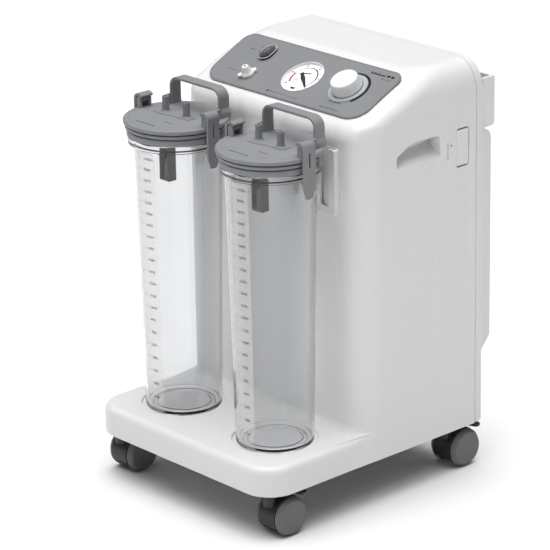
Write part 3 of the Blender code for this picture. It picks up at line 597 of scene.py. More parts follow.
def make_casing():
    shell = thing("casing_moulding", loft(casing_rings()))
    cut(shell, loft(hollow_rings()))
    inner_plan = fillet([(-HALF + WALL, FRONT + WALL, 0.037), (HALF - WALL, FRONT + WALL, 0.037),
                         (HALF - WALL, behind(0.215), 0), (-HALF + WALL, behind(0.215), 0)], 12)
    cut(shell, inner_plan, BASE_Z - 0.02, TRAY_Z - 0.01)
    for x in (-JAR_X, JAR_X):
        seat = turned([(0, TRAY_Z - SEAT_DEEP), (0.053, TRAY_Z - SEAT_DEEP), (0.054, TRAY_Z - 0.0036),
                       (0.0542, TRAY_Z - 0.0012), (0.0546, TRAY_Z - 0.0005), (0.0556, TRAY_Z + 0.0001),
                       (0.0556, TRAY_Z + 0.01), (0, TRAY_Z + 0.01)])
        cut(shell, moved(seat, x, JAR_Y))
    for side in (-1, 1):
        join(shell, grip_cutter(side, WALL, -0.0012))
        cut(shell, grip_cutter(side))
    for mesh in panel_holes(-0.012, 0.01):
        cut(shell, mesh)
    y0, y1, z0, z1 = HATCH
    door = fillet([(behind(y0) - 0.0004, z0 - 0.0004, 0.003), (behind(y1) + 0.0006, z0 - 0.0004, 0),
                   (behind(y1) + 0.0006, z1 + 0.0004, 0), (behind(y0) - 0.0004, z1 + 0.0004, 0.003)])
    cut_side(shell, door, 0.012)
    for low, high in ((z1, z1 + 0.002), (z0 - 0.002, z0)):
        lip = rectangle(behind(y0) + 0.001, behind(y1) - 0.002, low, high, 0.0006, 4)
        cut_side(shell, lip, 0.006)
    cut_side(shell, rectangle(behind(0.3083), behind(0.31), 0.425, 0.447, 0.0005, 4), 0.0026)
    cut_side(shell, circle(0.0016, (behind(0.315), 0.4425), 20), 0.0028)
    sweep = [radians(-130 + 130 * k / 12) for k in range(13)]
    hook = [(behind(0.3145) + (0.0036 - thin) * cos(a), 0.4335 + (0.0045 - thin) * sin(a))
            for thin, angles in ((0, sweep), (0.0006, sweep[::-1])) for a in angles]
    cut_side(shell, hook, 0.0012)
    show(rounded(shell, 0.0004), "casing", WHITE, "casing_white", "front_shell")


def shoulder_ring(inset, y, foot, steps=20):
    """Front view outline of the body at a depth, drawn in evenly."""
    half = HALF - inset
    wide = SHOULDER_WIDE - inset
    high = SHOULDER_HIGH - inset
    top = TOP_Z - inset
    toe = 0.003
    outline = fillet([(-half, foot, toe), (half, foot, toe), (half, top - high, 0)], 5)
    for angle in quarter(steps, 1):
        outline.append((half - wide + wide * cos(angle), top - high + high * sin(angle)))
    for angle in reversed(quarter(steps)):
        outline.append((-half + wide - wide * cos(angle), top - high + high * sin(angle)))
    return [(x, y, z) for x, z in outline]


def make_rear_cover():
    low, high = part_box("rear_cover")
    radius = 0.003
    rings = [shoulder_ring(WALL, high.y - WALL, BASE_Z + WALL),
             shoulder_ring(WALL, low.y, BASE_Z + WALL),
             shoulder_ring(0.0016, low.y, BASE_Z), shoulder_ring(0.0016, low.y + 0.0007, BASE_Z),
             shoulder_ring(0.0002, low.y + 0.0008, BASE_Z), shoulder_ring(0, low.y + 0.0012, BASE_Z)]
    for angle in quarter(5):
        inset = radius * (1 - cos(angle))
        rings.append(shoulder_ring(inset, high.y - radius + radius * sin(angle), BASE_Z + inset))
    cover = thing("rear_cover_fine", loft(rings))
    inlet = rectangle(-0.1043, -0.0757, 0.0987, 0.1213, 0.002)
    cut(cover, inlet, low.y - 0.01, high.y + 0.02, "Y")
    for row in range(4):
        z = 0.088 + 0.012 * row
        vent = rectangle(0.035, 0.085, z, z + 0.0038, 0.0018, 6)
        cut(cover, vent, high.y - 0.02, high.y + 0.01, "Y")
    screws = [(x, z) for x in (-0.15, 0.15) for z in (0.085, 0.135)]
    for x, z in screws:
        sink = turned([(0, -0.0014), (0.0036, -0.0014), (0.0042, 0.002), (0, 0.002)], "Y", 32)
        cut(cover, moved(sink, x, high.y, z))
    show(rounded(cover, 0.0004), "casing", WHITE, "casing_white", "rear_cover")
    head = [(0, -0.0013), (0.003, -0.0013), (0.003, -0.0006), (0.0024, -0.0002), (0, -0.0001)]
    screw = gather("cover_screws", [moved(turned(head, "Y", 28), x, high.y, z) for x, z in screws])
    for x, z in screws:
        for turn in (0.3, 0.3 + pi / 2):
            blade = prism(rectangle(-0.0017, 0.0017, -0.0004, 0.0004), -0.0008, 0.001, "Y")
            cut(screw, moved(blade, x, high.y, z, (turn, "Y")))
    show(shaded(screw, 30), "casing", STEEL, "steel")


def make_back_parts():
    """Bay cover, push handle and mains inlet with softened edges."""
    for name, width, segments, angle, shader, slot in (
            ("rear_bay_cover", 0.0012, 3, 30, WHITE, "casing_white"),
            ("rear_handle", 0.001, 3, 34, WHITE, "casing_white"),
            ("power_inlet", 0.0003, 2, 34, BLACK, "switch_black")):
        show(rounded(from_cad(name), width, segments, angle), "casing", shader, slot, name)
    low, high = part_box("power_inlet")
    drawer = rectangle(-0.0985, -0.0815, low.z - 0.0015, low.z + 0.0035, 0.001, 4)
    fuse = thing("fuse_drawer", prism(drawer, high.y - 0.0015, high.y + 0.0004, "Y"))
    show(rounded(fuse, 0.0003, angle=38), "casing", BLACK, "switch_black")


def make_holster():
    low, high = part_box("tube_holster")
    block = rectangle(low.x, high.x, low.z, high.z, 0.003)
    holster = thing("tube_holster_fine", prism(block, low.y, high.y, "Y"))
    pocket = rectangle(low.x + 0.0025, high.x - 0.0025, low.z + 0.0035, high.z + 0.02, 0.002)
    cut(holster, pocket, low.y + 0.0022, low.y + 0.0072, "Y")
    cut(holster, rectangle(0.103, 0.117, 0.39, 0.48, 0.0025), low.y - 0.01, low.y + 0.005, "Y")
    toe = rectangle(low.x - 0.0012, high.x + 0.0012, low.z - 0.0016, low.z + 0.0016, 0.0012, 4)
    join(holster, toe, low.y - 0.0022, high.y, "Y")
    show(rounded(holster, 0.0007, 3), "casing", WHITE, "casing_white", "tube_holster")


def make_hatch():
    door = rounded(from_cad("filter_hatch"), 0.0005)
    show(door, "filter_hatch", WHITE, "casing_white", "filter_hatch")


# ---- control panel

def printed(outline, level=PANEL_TOP):
    """Printed mark of an outline."""
    return prism(outline, level, level + PRINT)


def bar(x0, x1, y0, y1):
    return on_panel(printed(rectangle(x0, x1, y0, y1)))


def strokes(x0, x1, y0, y1, wide):
    """Row of plain upright strokes, standing for a line of small print."""
    count = max(int((x1 - x0) / (wide * 2.2)), 2)
    pitch = (x1 - x0 - wide) / (count - 1)
    row = []
    for k in range(count):
        left = x0 + pitch * k
        if k % 6 != 5:
            row.append(bar(left, left + wide, y0 + 0.0002 * (k * 7 % 3), y1 - 0.0003 * (k * 5 % 4)))
    return row


def arc_band(start, end, inner, outer_start, outer_end, level, centre, steps=48):
    """Flat printed arc whose width may grow along it."""
    rim = []
    root = []
    for k in range(steps + 1):
        t = k / steps
        angle = start + (end - start) * t
        outer = outer_start + (outer_end - outer_start) * t
        rim.append((centre[0] + outer * cos(angle), centre[1] + outer * sin(angle)))
        root.append((centre[0] + inner * cos(angle), centre[1] + inner * sin(angle)))
    return on_panel(printed(rim + root[::-1], level))


def letters(text, size, matrix):
    """Mesh of a short line of numerals, centred on its place."""
    data = bpy.data.curves.new("numerals", "FONT")
    data.body = text
    data.size = size
    data.align_x = "CENTER"
    data.align_y = "CENTER"
    data.extrude = 0.00003
    data.offset = size * 0.03
    data.resolution_u = 2
    body = added("numerals", data)
    mesh = bmesh.new()
    mesh.from_mesh(evaluated(body))
    bpy.data.objects.remove(body)
    return placed(mesh, matrix)


def panel_outline(inset=0.0):
    half, far = PANEL_HALF - inset, PANEL_LENGTH - inset
    low, high = 0.026 - inset, 0.016 - inset
    return fillet([(-half, inset, low), (half, inset, low), (half, far, high), (-half, far, high)], 16)


def make_panel():
    plate = thing("control_panel_fine", on_panel(prism(panel_outline(), GAP, PANEL_TOP)))
    for mesh in panel_holes(-0.01, 0.01):
        cut(plate, mesh)
    show(rounded(plate, 0.0004), "casing", PANEL, "panel_grey", "control_panel")
    line = prism(panel_outline(0.0009), PANEL_TOP + 0.00001, PANEL_TOP + 0.00005)
    border = thing("panel_border_line", on_panel(line))
    cut(border, on_panel(prism(panel_outline(0.0015), 0, 0.01)))
    show(border, "casing", PANEL_EDGE, "panel_grey")
    marks = []
    for line in ((-0.1135, -0.1025, 0.0655, 0.0685, 0.0008), (-0.116, -0.0985, 0.024, 0.0262, 0.0005),
                 (-0.0225, -0.006, 0.007, 0.0092, 0.0006), (-0.004, 0.029, 0.007, 0.0088, 0.0004),
                 (0.075, 0.094, 0.0186, 0.0212, 0.0005), (0.069, 0.1, 0.0062, 0.0092, 0.0007),
                 (0.114, 0.13, 0.0755, 0.0777, 0.0005)):
        marks += strokes(*line)
    grey = gather("panel_marks", marks + [bar(-0.027, -0.024, 0.0066, 0.0096)])
    show(grey, "casing", GREY_INK, "panel_grey")
    blocks = strokes(0.091, 0.116, 0.0812, 0.085, 0.0014)
    blocks += [bar(0.091, 0.116, 0.0812, 0.0826), bar(0.1185, 0.1235, 0.0815, 0.085),
               bar(0.1255, 0.1305, 0.0815, 0.085)]
    black = gather("panel_blocks", blocks)
    show(black, "casing", INK, "panel_grey")
    x, y = KNOB_AT
    sweep = arc_band(radians(-41), radians(120), 0.027, 0.0312, 0.0294, PANEL_TOP, KNOB_AT)
    show(thing("knob_sweep_mark", sweep), "casing", INK, "panel_grey")
    start = arc_band(radians(120), radians(222), 0.0258, 0.0272, 0.0263, PANEL_TOP, (x - 0.0006, y))
    show(thing("knob_start_mark", start), "casing", GREY_INK, "panel_grey")


def turned_on_panel(name, profile, place):
    """Piece turned about an axis that stands on the slope."""
    return thing(name, on_panel(turned(profile, sides=128), *place))


def make_gauge():
    bore = GAUGE_R - 0.0012
    ledge = bore - 0.0028
    case = turned_on_panel("gauge_case_fine", [
        (0, -0.026), (GAUGE_R - 0.001, -0.026), (GAUGE_R, -0.025), (GAUGE_R, 0.0026),
        (GAUGE_R - 0.0003, 0.0029), (bore + 0.0002, 0.003), (bore, 0.0027), (bore, -0.0013),
        (ledge, -0.0013), (ledge, -0.024), (0, -0.024)], GAUGE_AT)
    show(shaded(case), "casing", KNOB, "gauge_white", "gauge_case")
    dial = turned_on_panel("gauge_dial_fine", [
        (0.0012, -0.001), (bore - GAP, -0.001), (bore - GAP, -0.0001), (bore - 0.0005, 0),
        (0.0012, 0)], GAUGE_AT)
    show(shaded(dial), "casing", DIAL, "dial_face", "gauge_dial")
    first, sweep = radians(-40), radians(260)
    level = 0.00001
    ring_r = 0.0188
    ticks = []
    for k in range(51):
        angle = first + sweep * k / 50
        outer = ring_r + (0.0026 if k % 10 == 0 else 0.0018 if k % 5 == 0 else 0.0009)
        half = 0.0003 if k % 10 == 0 else 0.00013
        tick = printed(rectangle(ring_r, outer, -half, half), level)
        ticks.append(on_panel(placed(tick, Matrix.Rotation(angle, 4, "Z")), *GAUGE_AT))
    for start, end, low, high in ((first - 0.1, radians(20), 0.0006, 0.0018),
                                  (radians(20), radians(70), 0.0018, 0.0015),
                                  (radians(70), radians(150), 0.0015, 0.0005)):
        ticks.append(arc_band(start, end, ring_r, ring_r + low, ring_r + high, level, GAUGE_AT))
    for k in range(6):
        angle = first + sweep * k / 5
        place = Matrix.Translation((0.0237 * cos(angle), 0.0237 * sin(angle), 0.00004))
        ticks.append(on_panel(letters(str(20 * k), 0.0038, place), *GAUGE_AT))
    for x0, x1, y0, y1 in ((-0.004, 0.0034, -0.022, -0.0188), (-0.0085, -0.0068, -0.0112, -0.0094),
                           (-0.003, -0.0012, -0.0122, -0.0104), (-0.0095, -0.0045, -0.006, -0.0054),
                           (0.001, 0.0072, 0.0082, 0.0088), (0.002, 0.0062, 0.006, 0.0065)):
        ticks.append(on_panel(printed(rectangle(x0, x1, y0, y1), level), *GAUGE_AT))
    arm = [(-0.0092, 0.006), (-0.007, 0.005), (0.0056, 0.0108), (0.005, 0.0118), (-0.0078, 0.0076)]
    ticks.append(on_panel(printed(arm, level), *GAUGE_AT))
    show(gather("gauge_scale", ticks), "casing", INK, "dial_face")
    red = arc_band(radians(163), radians(219), 0.0168, 0.0192, 0.0192, 0.00008, GAUGE_AT, 32)
    show(thing("gauge_red_band", red), "casing", RED_INK, "dial_face")
    edge = [(-0.011, -0.0018), (-0.01, -0.0026), (-0.004, -0.0022), (0.0, -0.003), (0.01, -0.002),
            (0.0205, -0.0011), (0.0224, -0.0003)]
    pointer = edge + [(x, -y) for x, y in reversed(edge)]
    needle = thing("needle_fine", prism(pointer, 0.00065, 0.00105))
    join(needle, turned([(0, -0.004), (0.0009, -0.004), (0.0009, 0.0003), (0.0028, 0.0004),
                         (0.003, 0.0006), (0.003, 0.0011), (0.0024, 0.0014), (0, 0.0015)], sides=40))
    set_on_panel(needle, *GAUGE_AT, first)
    show(shaded(needle, 30), "gauge_needle", INK, "needle_black", "gauge_needle")
    lens = turned_on_panel("gauge_lens_fine", [
        (0, 0.0018), (bore - GAP, 0.0018), (bore - GAP, 0.0023), (0.024, 0.0025), (0.018, 0.0027),
        (0.009, 0.00285), (0, 0.0029)], GAUGE_AT)
    show(shaded(lens), "casing", LENS, "lens_clear", "gauge_lens")


def make_knob():
    low = PANEL_TOP + 0.0008
    top = low + 0.0155
    knob = thing("regulator_knob_fine", turned([
        (STEM_R + GAP, low), (0.0191, low), (0.0196, low + 0.0003), (0.0197, low + 0.0008),
        (0.0196, low + 0.0022), (0.0181, low + 0.0128), (0.0177, low + 0.0142), (0.0169, low + 0.0151),
        (0.0158, top - 0.0001), (0.0148, top), (0.0085, top - 0.0002), (0, top - 0.0003), (0, 0.0125),
        (STEM_R + GAP, 0.0125)], sides=128))
    mark = prism(rectangle(0.0135, 0.03, -0.0004, 0.0004), top - 0.003, top + 0.002)
    cut(knob, placed(mark, Matrix.Rotation(radians(205), 4, "Z")))
    set_on_panel(knob, *KNOB_AT)
    show(shaded(knob, 26), "regulator_knob", KNOB, "knob_white", "regulator_knob")
    base = PANEL_TOP + GAP
    ring = turned_on_panel("knob_ring_fine", [
        (0.0204, base), (0.0262, base), (0.0262, base + 0.0003), (0.0257, base + 0.0007),
        (0.021, base + 0.0007), (0.0206, base + 0.0004)], KNOB_AT)
    show(shaded(ring), "casing", RING, "ring_blue_grey", "knob_scale_ring")


def make_switch():
    x, y = SWITCH_AT
    bezel = thing("switch_frame_fine", prism(stadium(0.01, 0.014), PANEL_TOP + GAP, 0.0045))
    join(bezel, stadium(0.0088, 0.0128), -0.018, 0.004)
    cut(bezel, stadium(0.008, 0.012), -0.016, 0.01)
    set_on_panel(bezel, x, y)
    show(rounded(bezel, 0.0005, 3), "casing", BLACK, "switch_black", "switch_frame")
    rocker = thing("switch_rocker_fine", prism(fillet([
        (-0.0084, -0.002, 0.0004), (0.0084, -0.002, 0.0004), (0.0084, 0.0038, 0.0006), (0, 0.0048, 0.02),
        (-0.0084, 0.0062, 0.0006)], 6), -0.006, 0.006, "X"))
    join(rocker, circle(0.0012, sides=24), -0.0077, 0.0077, "X")
    for offset in (-0.0045, 0.0045):
        cut(rocker, rectangle(-0.003, 0.003, offset - 0.0004, offset + 0.0004), 0.0044, 0.02)
    set_on_panel(rocker, x, y)
    show(rounded(rocker, 0.0003), "switch_rocker", BLACK, "switch_black", "switch_rocker")
    rings = []
    steps = 14
    # outside from the crown down, then inside from the foot up
    for thick, order in ((0.0, range(steps, -1, -1)), (0.0008, range(steps + 1))):
        for k in order:
            angle = radians(84) * k / steps
            size = cos(angle) ** 0.8
            height = 0.0048 + (0.0075 - thick) * sin(angle)
            rings.append([(a * size, b * size, height) for a, b in
                          stadium(0.0098 - thick, 0.0138 - thick)])
    boot = thing("switch_boot_fine", on_panel(loft(rings), x, y))
    show(shaded(boot, 50), "casing", BOOT, "boot_clear", "switch_boot")
    # White ring at the boot's foot: painted highlight for the shine along the clear boot's rim.
    rim = thing("switch_boot_highlight_bead", on_panel(prism(stadium(0.0101, 0.0141), 0.0045, 0.0052), x, y))
    cut(rim, on_panel(prism(stadium(0.009, 0.013), 0.0, 0.01), x, y))
    show(rounded(rim, 0.0002), "casing", KNOB, "boot_clear")


def make_port():
    port = thing("suction_port_fine", turned([
        (0, -0.016), (0.006, -0.016), (0.006, PANEL_TOP + GAP), (0.009, PANEL_TOP + GAP),
        (0.0092, 0.0026), (0.0092, 0.0046), (0.0088, 0.0056), (0.0078, 0.0066), (0.0068, 0.0078),
        (0.006, 0.0096), (0.0048, 0.0138), (0.004, 0.0151), (0.0032, 0.0155), (0.0022, 0.0155),
        (0.0018, 0.0151), (0.0018, 0.008), (0, 0.008)], sides=64))
    wing = rectangle(-0.0125, 0.0125, -0.0034, 0.0034, 0.0032)
    join(port, moved(prism(wing, PANEL_TOP + 0.001, 0.0062), turn=(radians(50), "Z")))
    cut(port, turned([(0, 0.0068), (0.0018, 0.0068), (0.0018, 0.03), (0, 0.03)], sides=32))
    set_on_panel(port, *PORT_AT)
    show(rounded(port, 0.0012, 4, 30), "casing", KNOB, "knob_white", "suction_port")


# ---- jars

JAR_FLOOR = TRAY_Z - SEAT_DEEP + GAP
JAR_TOP = 0.455
JAR_FOOT_R = 0.049
JAR_TOP_R = 0.0565
COLLAR_R = 0.0615
JAR_WALL = 0.0028
FILM_FROM = -0.33  # edges of the scale's strip round the jar, radians
FILM_TO = 0.32
JAR_DRAFT = (JAR_TOP_R - JAR_FOOT_R) / (JAR_TOP - JAR_FLOOR)


def jar_radius(z):
    """Outer radius of the jar's wall at a height."""
    return JAR_FOOT_R + JAR_DRAFT * (z - JAR_FLOOR)


def jar_profile():
    floor, top, collar = JAR_FLOOR, JAR_TOP, JAR_TOP - 0.009
    foot = jar_radius(floor + 0.008) - JAR_WALL
    neck = JAR_TOP_R - JAR_WALL
    return [
        (0, floor + 0.0018), (0.03, floor + 0.0016), (0.0395, floor + 0.0012), (0.0405, floor + 0.0002),
        (0.0415, floor), (0.045, floor), (0.0472, floor + 0.0005), (0.0485, floor + 0.0016),
        (jar_radius(floor + 0.004), floor + 0.004), (jar_radius(collar - 0.003), collar - 0.003),
        (JAR_TOP_R + 0.0012, collar - 0.0008), (JAR_TOP_R + 0.003, collar), (COLLAR_R - 0.0006, collar),
        (COLLAR_R, collar + 0.0006), (COLLAR_R, top - 0.0006), (COLLAR_R - 0.0006, top),
        (neck + 0.0005, top), (neck, top - 0.0006), (foot, floor + 0.008),
        (foot - 0.0012, floor + 0.0058), (foot - 0.004, floor + 0.0046), (0.036, floor + 0.0045),
        (0.0352, floor + 0.0052), (0.034, floor + 0.0052), (0.0332, floor + 0.0045), (0, floor + 0.0045)]


def level_for(volume):
    """Height of the fluid in the jar for a volume in millilitres."""
    z = JAR_FLOOR + 0.0045
    step = 0.0005
    held = 0.0
    while held < volume:
        held += pi * (jar_radius(z) - JAR_WALL) ** 2 * step * 1e6
        z += step
    return z


def on_wall(z, along):
    """Place on the front of the jar's wall, at an arc length to the right."""
    radius = jar_radius(z) + 0.00006
    angle = along / radius
    lean = atan2(JAR_DRAFT, 1)
    return (Matrix.Rotation(angle, 4, "Z") @ Matrix.Translation((0, -radius, z))
            @ Matrix.Rotation(pi / 2 + lean, 4, "X"))


def jar_scale(name, centre_x, body):
    """Printed scale: a numbered tick each 125 ml, and the clear strip it is printed on."""
    marks = []
    for k in range(1, 22):
        z = level_for(125 * k)
        for place in range(3):
            tick = printed(rectangle(-0.0013, 0.0013, -0.00015, 0.00015), 0)
            marks.append(placed(tick, on_wall(z, -0.0097 + 0.0024 * place)))
        digits = str(125 * k)
        if k == 21:
            digits = "-" + digits + "--"
        for place, digit in enumerate(digits):
            marks.append(letters(digit, 0.0044, on_wall(z, 0.0018 + 0.0029 * place)))
    for mesh in marks:
        moved(mesh, centre_x, JAR_Y)
    show(gather(name, marks), body, INK, "jar_clear")
    rings = []
    angles = [FILM_FROM + (FILM_TO - FILM_FROM) * k / 24 for k in range(25)]
    for z in (JAR_FLOOR + 0.004, 0.443):
        rim = [(jar_radius(z) + 0.00004, a) for a in angles]
        rim += [(jar_radius(z) + 0.00002, a) for a in reversed(angles)]
        rings.append([(centre_x + r * sin(a), JAR_Y - r * cos(a), z) for r, a in rim])
    band = thing(name + "_film", loft(rings))
    show(band, body, SCALE_FILM, "jar_clear")


LID_Z = 0.477
LID_R = 0.0665
REACH = 0.0615  # latch pins, out from the jar's axis
PIVOT_Z = 0.487
SPIGOTS = ((-0.0244, 0.0043), (0.015, 0.0039))


def lid_profile():
    """Stepped rim with three shadow lines, seal groove below."""
    return [
        (0, 0.4585), (0.0604, 0.4585), (0.0606, 0.4583), (0.0606, 0.4563), (0.0609, 0.456),
        (0.0621, 0.456), (0.0625, 0.4564), (0.0625, 0.4626), (0.062, 0.4633), (0.0592, 0.4636),
        (0.0592, 0.4653),
        (0.064, 0.4656), (0.0646, 0.4661), (0.0646, 0.469), (0.0641, 0.4696), (0.0604, 0.4698),
        (0.0604, 0.4714), (0.0655, 0.4716), (0.0662, 0.4718), (LID_R, 0.4723), (LID_R, 0.4748),
        (0.0662, 0.4761), (0.0654, 0.4768), (0.0642, LID_Z), (0.06, LID_Z), (0.0596, LID_Z - 0.0004),
        (0.059, LID_Z - 0.0004), (0.0586, LID_Z), (0, LID_Z)]


def make_lid(label, centre_x):
    body = "jar_" + label
    lid = thing("lid_fine_" + label, turned(lid_profile(), sides=128))
    half, thick, top, foot = 0.047, 0.003, 0.5135, LID_Z - 0.001
    # right half of the strap handle, outside down and inside up; the left mirrors it
    outer = [(half, top, 0.0135), (half, 0.4885, 0.006), (half + 0.003, 0.4835, 0.004),
             (half + 0.0035, foot, 0)]
    inner = [(half - thick - 0.001, foot, 0), (half - thick, 0.484, 0.003),
             (half - thick, top - thick, 0.0095)]
    strap = [(-x, z, radius) for x, z, radius in reversed(outer)] + outer + inner
    strap += [(-x, z, radius) for x, z, radius in reversed(inner)]
    join(lid, fillet(strap, 10), 0.0304, 0.0465, "Y")
    for x, y in SPIGOTS:
        spigot = turned([
            (0, foot), (0.0078, foot), (0.0074, LID_Z + 0.0008), (0.0062, LID_Z + 0.0012),
            (0.0052, LID_Z + 0.002), (0.0046, LID_Z + 0.0036), (0.0043, 0.4925), (0.0047, 0.494),
            (0.0047, 0.496), (0.0042, 0.4975), (0.0026, 0.4975), (0.0023, 0.497), (0.0023, 0.483),
            (0, 0.483)], sides=56)
        join(lid, moved(spigot, x, y))
    pad = fillet([(-0.036, -0.008, 0.004), (-0.012, -0.008, 0.004), (-0.008, -0.004, 0.004),
                  (0.026, -0.004, 0.004), (0.026, 0.013, 0.004), (-0.036, 0.013, 0.004)], 6)
    join(lid, pad, foot, LID_Z + 0.0007)
    for leg in (-0.05, 0.047):
        gusset = fillet([(0.0215, foot, 0), (0.0215, 0.488, 0.003), (0.0312, 0.49, 0.001),
                         (0.0312, foot, 0)], 6)
        join(lid, gusset, leg, leg + 0.003, "X")
    for x0, x1, y, z in ((-0.022, 0.013, -0.047, 0.0012), (0.008, 0.024, -0.0265, 0.0006)):
        dash = rectangle(x0, x1, y - 0.0009, y + 0.0009, 0.0008, 4)
        cut(lid, dash, LID_Z - z, LID_Z + 0.01)
    for side in (-1, 1):
        for edge in (-1, 1):
            ear = fillet([(side * (REACH - 0.004), foot, 0), (side * (REACH + 0.0036), foot, 0),
                          (side * (REACH + 0.004), PIVOT_Z + 0.004, 0.0039),
                          (side * (REACH - 0.004), PIVOT_Z + 0.004, 0.0039)], 8)
            join(lid, ear, edge * 0.0062, edge * 0.009, "Y")
        cut(lid, circle(0.0022, (side * REACH, PIVOT_Z), 24), -0.02, 0.02, "Y")
        block = fillet([(0.054, -0.0065, 0.001), (0.0672, -0.0065, 0.0015), (0.0672, 0.0065, 0.0015),
                        (0.054, 0.0065, 0.001)], 4)
        angle = radians(25) if side > 0 else radians(180 - 25)
        join(lid, moved(prism(block, 0.459, 0.474), turn=(angle, "Z")))
        for k in range(4):
            rib = rectangle(0.0665, 0.07, -0.005 + 0.003 * k, -0.004 + 0.003 * k)
            cut(lid, moved(prism(rib, 0.46, 0.4725), turn=(angle, "Z")))
    rounded(lid, 0.0005, angle=36)
    lid.data.transform(Matrix.Translation((centre_x, JAR_Y, 0)))
    show(lid, body, LID, "lid_grey", "lid_" + label)
    # Thin black ring just inside the jar's neck, below the lid, drawing a dark line there.
    lip = thing("dark_neck_ring_" + label, moved(turned([
        (0.0524, 0.4468), (0.0531, 0.4466), (0.0533, 0.4472), (0.0533, 0.4482), (0.0524, 0.4484)],
        sides=96), centre_x, JAR_Y))
    show(shaded(lip), body, RUBBER, "gasket_rubber")


def latch_outline():
    """Side view of a latch: curl over the pin, strap, inturned hook."""
    face, thick = 0.067, 0.003
    outer_r = face + thick - REACH
    inner_r = face - REACH
    outer = [(face + thick, 0.438)]
    inner = [(face, 0.438)]
    for k in range(25):
        angle = radians(138) * k / 24
        outer.append((REACH + outer_r * cos(angle), PIVOT_Z + outer_r * sin(angle)))
        inner.append((REACH + inner_r * cos(angle), PIVOT_Z + inner_r * sin(angle)))
    tip = (face + 0.0018, 0.4245)
    return [tip] + outer + inner[::-1] + [(face + 0.0002, 0.425)]


def make_latch(label, kind, centre_x, side):
    body = "latch_%s_%s" % (kind, label)
    half = 0.0095
    latch = thing(body + "_fine", prism(latch_outline(), -half, half, "Y"))
    for edge in (-1, 1):
        wedge = [(edge * half * 1.2, 0.4385), (edge * half, 0.4385), (edge * 0.004, 0.4235),
                 (edge * 0.004, 0.42), (edge * half * 1.2, 0.42)]
        cut(latch, wedge, 0.05, 0.09, "X")
    bead = (REACH + 0.0069 * cos(radians(134)), PIVOT_Z + 0.0069 * sin(radians(134)))
    join(latch, circle(0.0018, bead, 24), -half, half, "Y")
    join(latch, circle(0.0018, (REACH, PIVOT_Z), 24), -0.009, 0.009, "Y")
    join(latch, circle(0.0036, (REACH, PIVOT_Z), 32), -0.0055, 0.0055, "Y")
    join(latch, rectangle(-0.0055, 0.0055, PIVOT_Z + 0.0008, PIVOT_Z + 0.0032), REACH, 0.068, "X")
    nib = fillet([(0.068, 0.44, 0), (0.068, 0.4452, 0), (0.06, 0.4452, 0.0008),
                  (0.0598, 0.4425, 0.0008)], 4)
    join(latch, nib, -0.006, 0.006, "Y")
    cut(latch, rectangle(-0.0012, 0.0012, 0.464, 0.4825, 0.0011, 5), 0.064, 0.09, "X")
    rounded(latch, 0.0005, angle=32)
    if side < 0:
        latch.data.transform(Matrix.Rotation(pi, 4, "Z"))
    latch.data.transform(Matrix.Translation((centre_x, JAR_Y, 0)))
    show(latch, body, LID, "lid_grey", body)


def make_jars():
    for label, side in (("left", -1), ("right", 1)):
        centre = side * JAR_X
        jar = thing("jar_fine_" + label, moved(turned(jar_profile(), sides=144), centre, JAR_Y))
        show(shaded(jar), "jar_" + label, JAR, "jar_clear", "jar_" + label)
        jar_scale("jar_scale_" + label, centre, "jar_" + label)
        make_lid(label, centre)
        make_latch(label, "outer", centre, side)
        make_latch(label, "inner", centre, -side)
        cage = from_cad("float_cage_" + label)
        low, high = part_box("float_cage_" + label)
        window = rectangle(low.x + 0.0019, high.x - 0.0019, low.z + 0.003, high.z - 0.0045, 0.0006, 4)
        cut(cage, window, low.y - 0.01, low.y + 0.003, "Y")
        show(rounded(cage, 0.0004), "jar_" + label, CAGE, "cage_grey", "float_cage_" + label)
        paint("lid_gasket_" + label, RUBBER)
        paint("float_" + label, FOAM)


# ---- casters

def hood_object():
    """Hood round its swivel axis: shell over both wheels, web, boss, stem, lug."""
    axle_y = 0.019
    arc = [(axle_y, WHEEL_R)]
    for k in range(41):
        angle = radians(58 + 150 * k / 40)
        arc.append((axle_y + 0.0258 * cos(angle), WHEEL_R + 0.0258 * sin(angle)))
    hood = thing("hood", prism(arc, -0.014, 0.014, "X"))
    join(hood, circle(0.0085, sides=40), 0.04, 0.0565)
    join(hood, moved(prism(circle(0.008, sides=32), -0.003, 0.003, "X"), 0, axle_y, WHEEL_R))
    for side in (-1, 1):
        bay = prism(circle(0.0223, sides=64), side * 0.003, side * 0.02, "X")
        cut(hood, moved(bay, 0, axle_y, WHEEL_R))
    join(hood, circle(0.005, sides=32), 0.05, 0.068)
    lug = fillet([(0.0215, 0.0478, 0), (0.0285, 0.0478, 0), (0.0285, 0.0552, 0.0028),
                  (0.0215, 0.0552, 0.0028)], 6)
    join(hood, lug, -0.0037, 0.0037, "X")
    cut(hood, circle(0.0018, (0.025, 0.0525), 20), -0.02, 0.02, "X")
    cut(hood, moved(prism(circle(0.0033, sides=24), -0.02, 0.02, "X"), 0, axle_y, WHEEL_R))
    return rounded(hood, 0.0006, 3)


def wheel_object(side):
    """Half of the twin wheel, with a raised rim round its outer face."""
    profile = [
        (0.0033, 0.0034), (0.021, 0.0034), (0.0216, 0.004), (0.0216, 0.0144), (0.024, 0.0144),
        (0.0246, 0.0146), (0.025, 0.0152), (0.025, 0.017), (0.0248, 0.0178), (0.0218, 0.0217),
        (0.0212, 0.0222), (0.0204, 0.0224), (0.02, 0.0221), (0.0196, 0.0221), (0.006, 0.0221),
        (0.0056, 0.0223), (0, 0.0224), (0, 0.0203), (0.0033, 0.0203)]
    return shaded(thing("wheel", turned([(r, side * a) for r, a in profile], "X", 96)), 34)


def copied(source, name, matrix):
    piece = added(name, source.data.copy())
    piece.data.transform(matrix)
    return piece


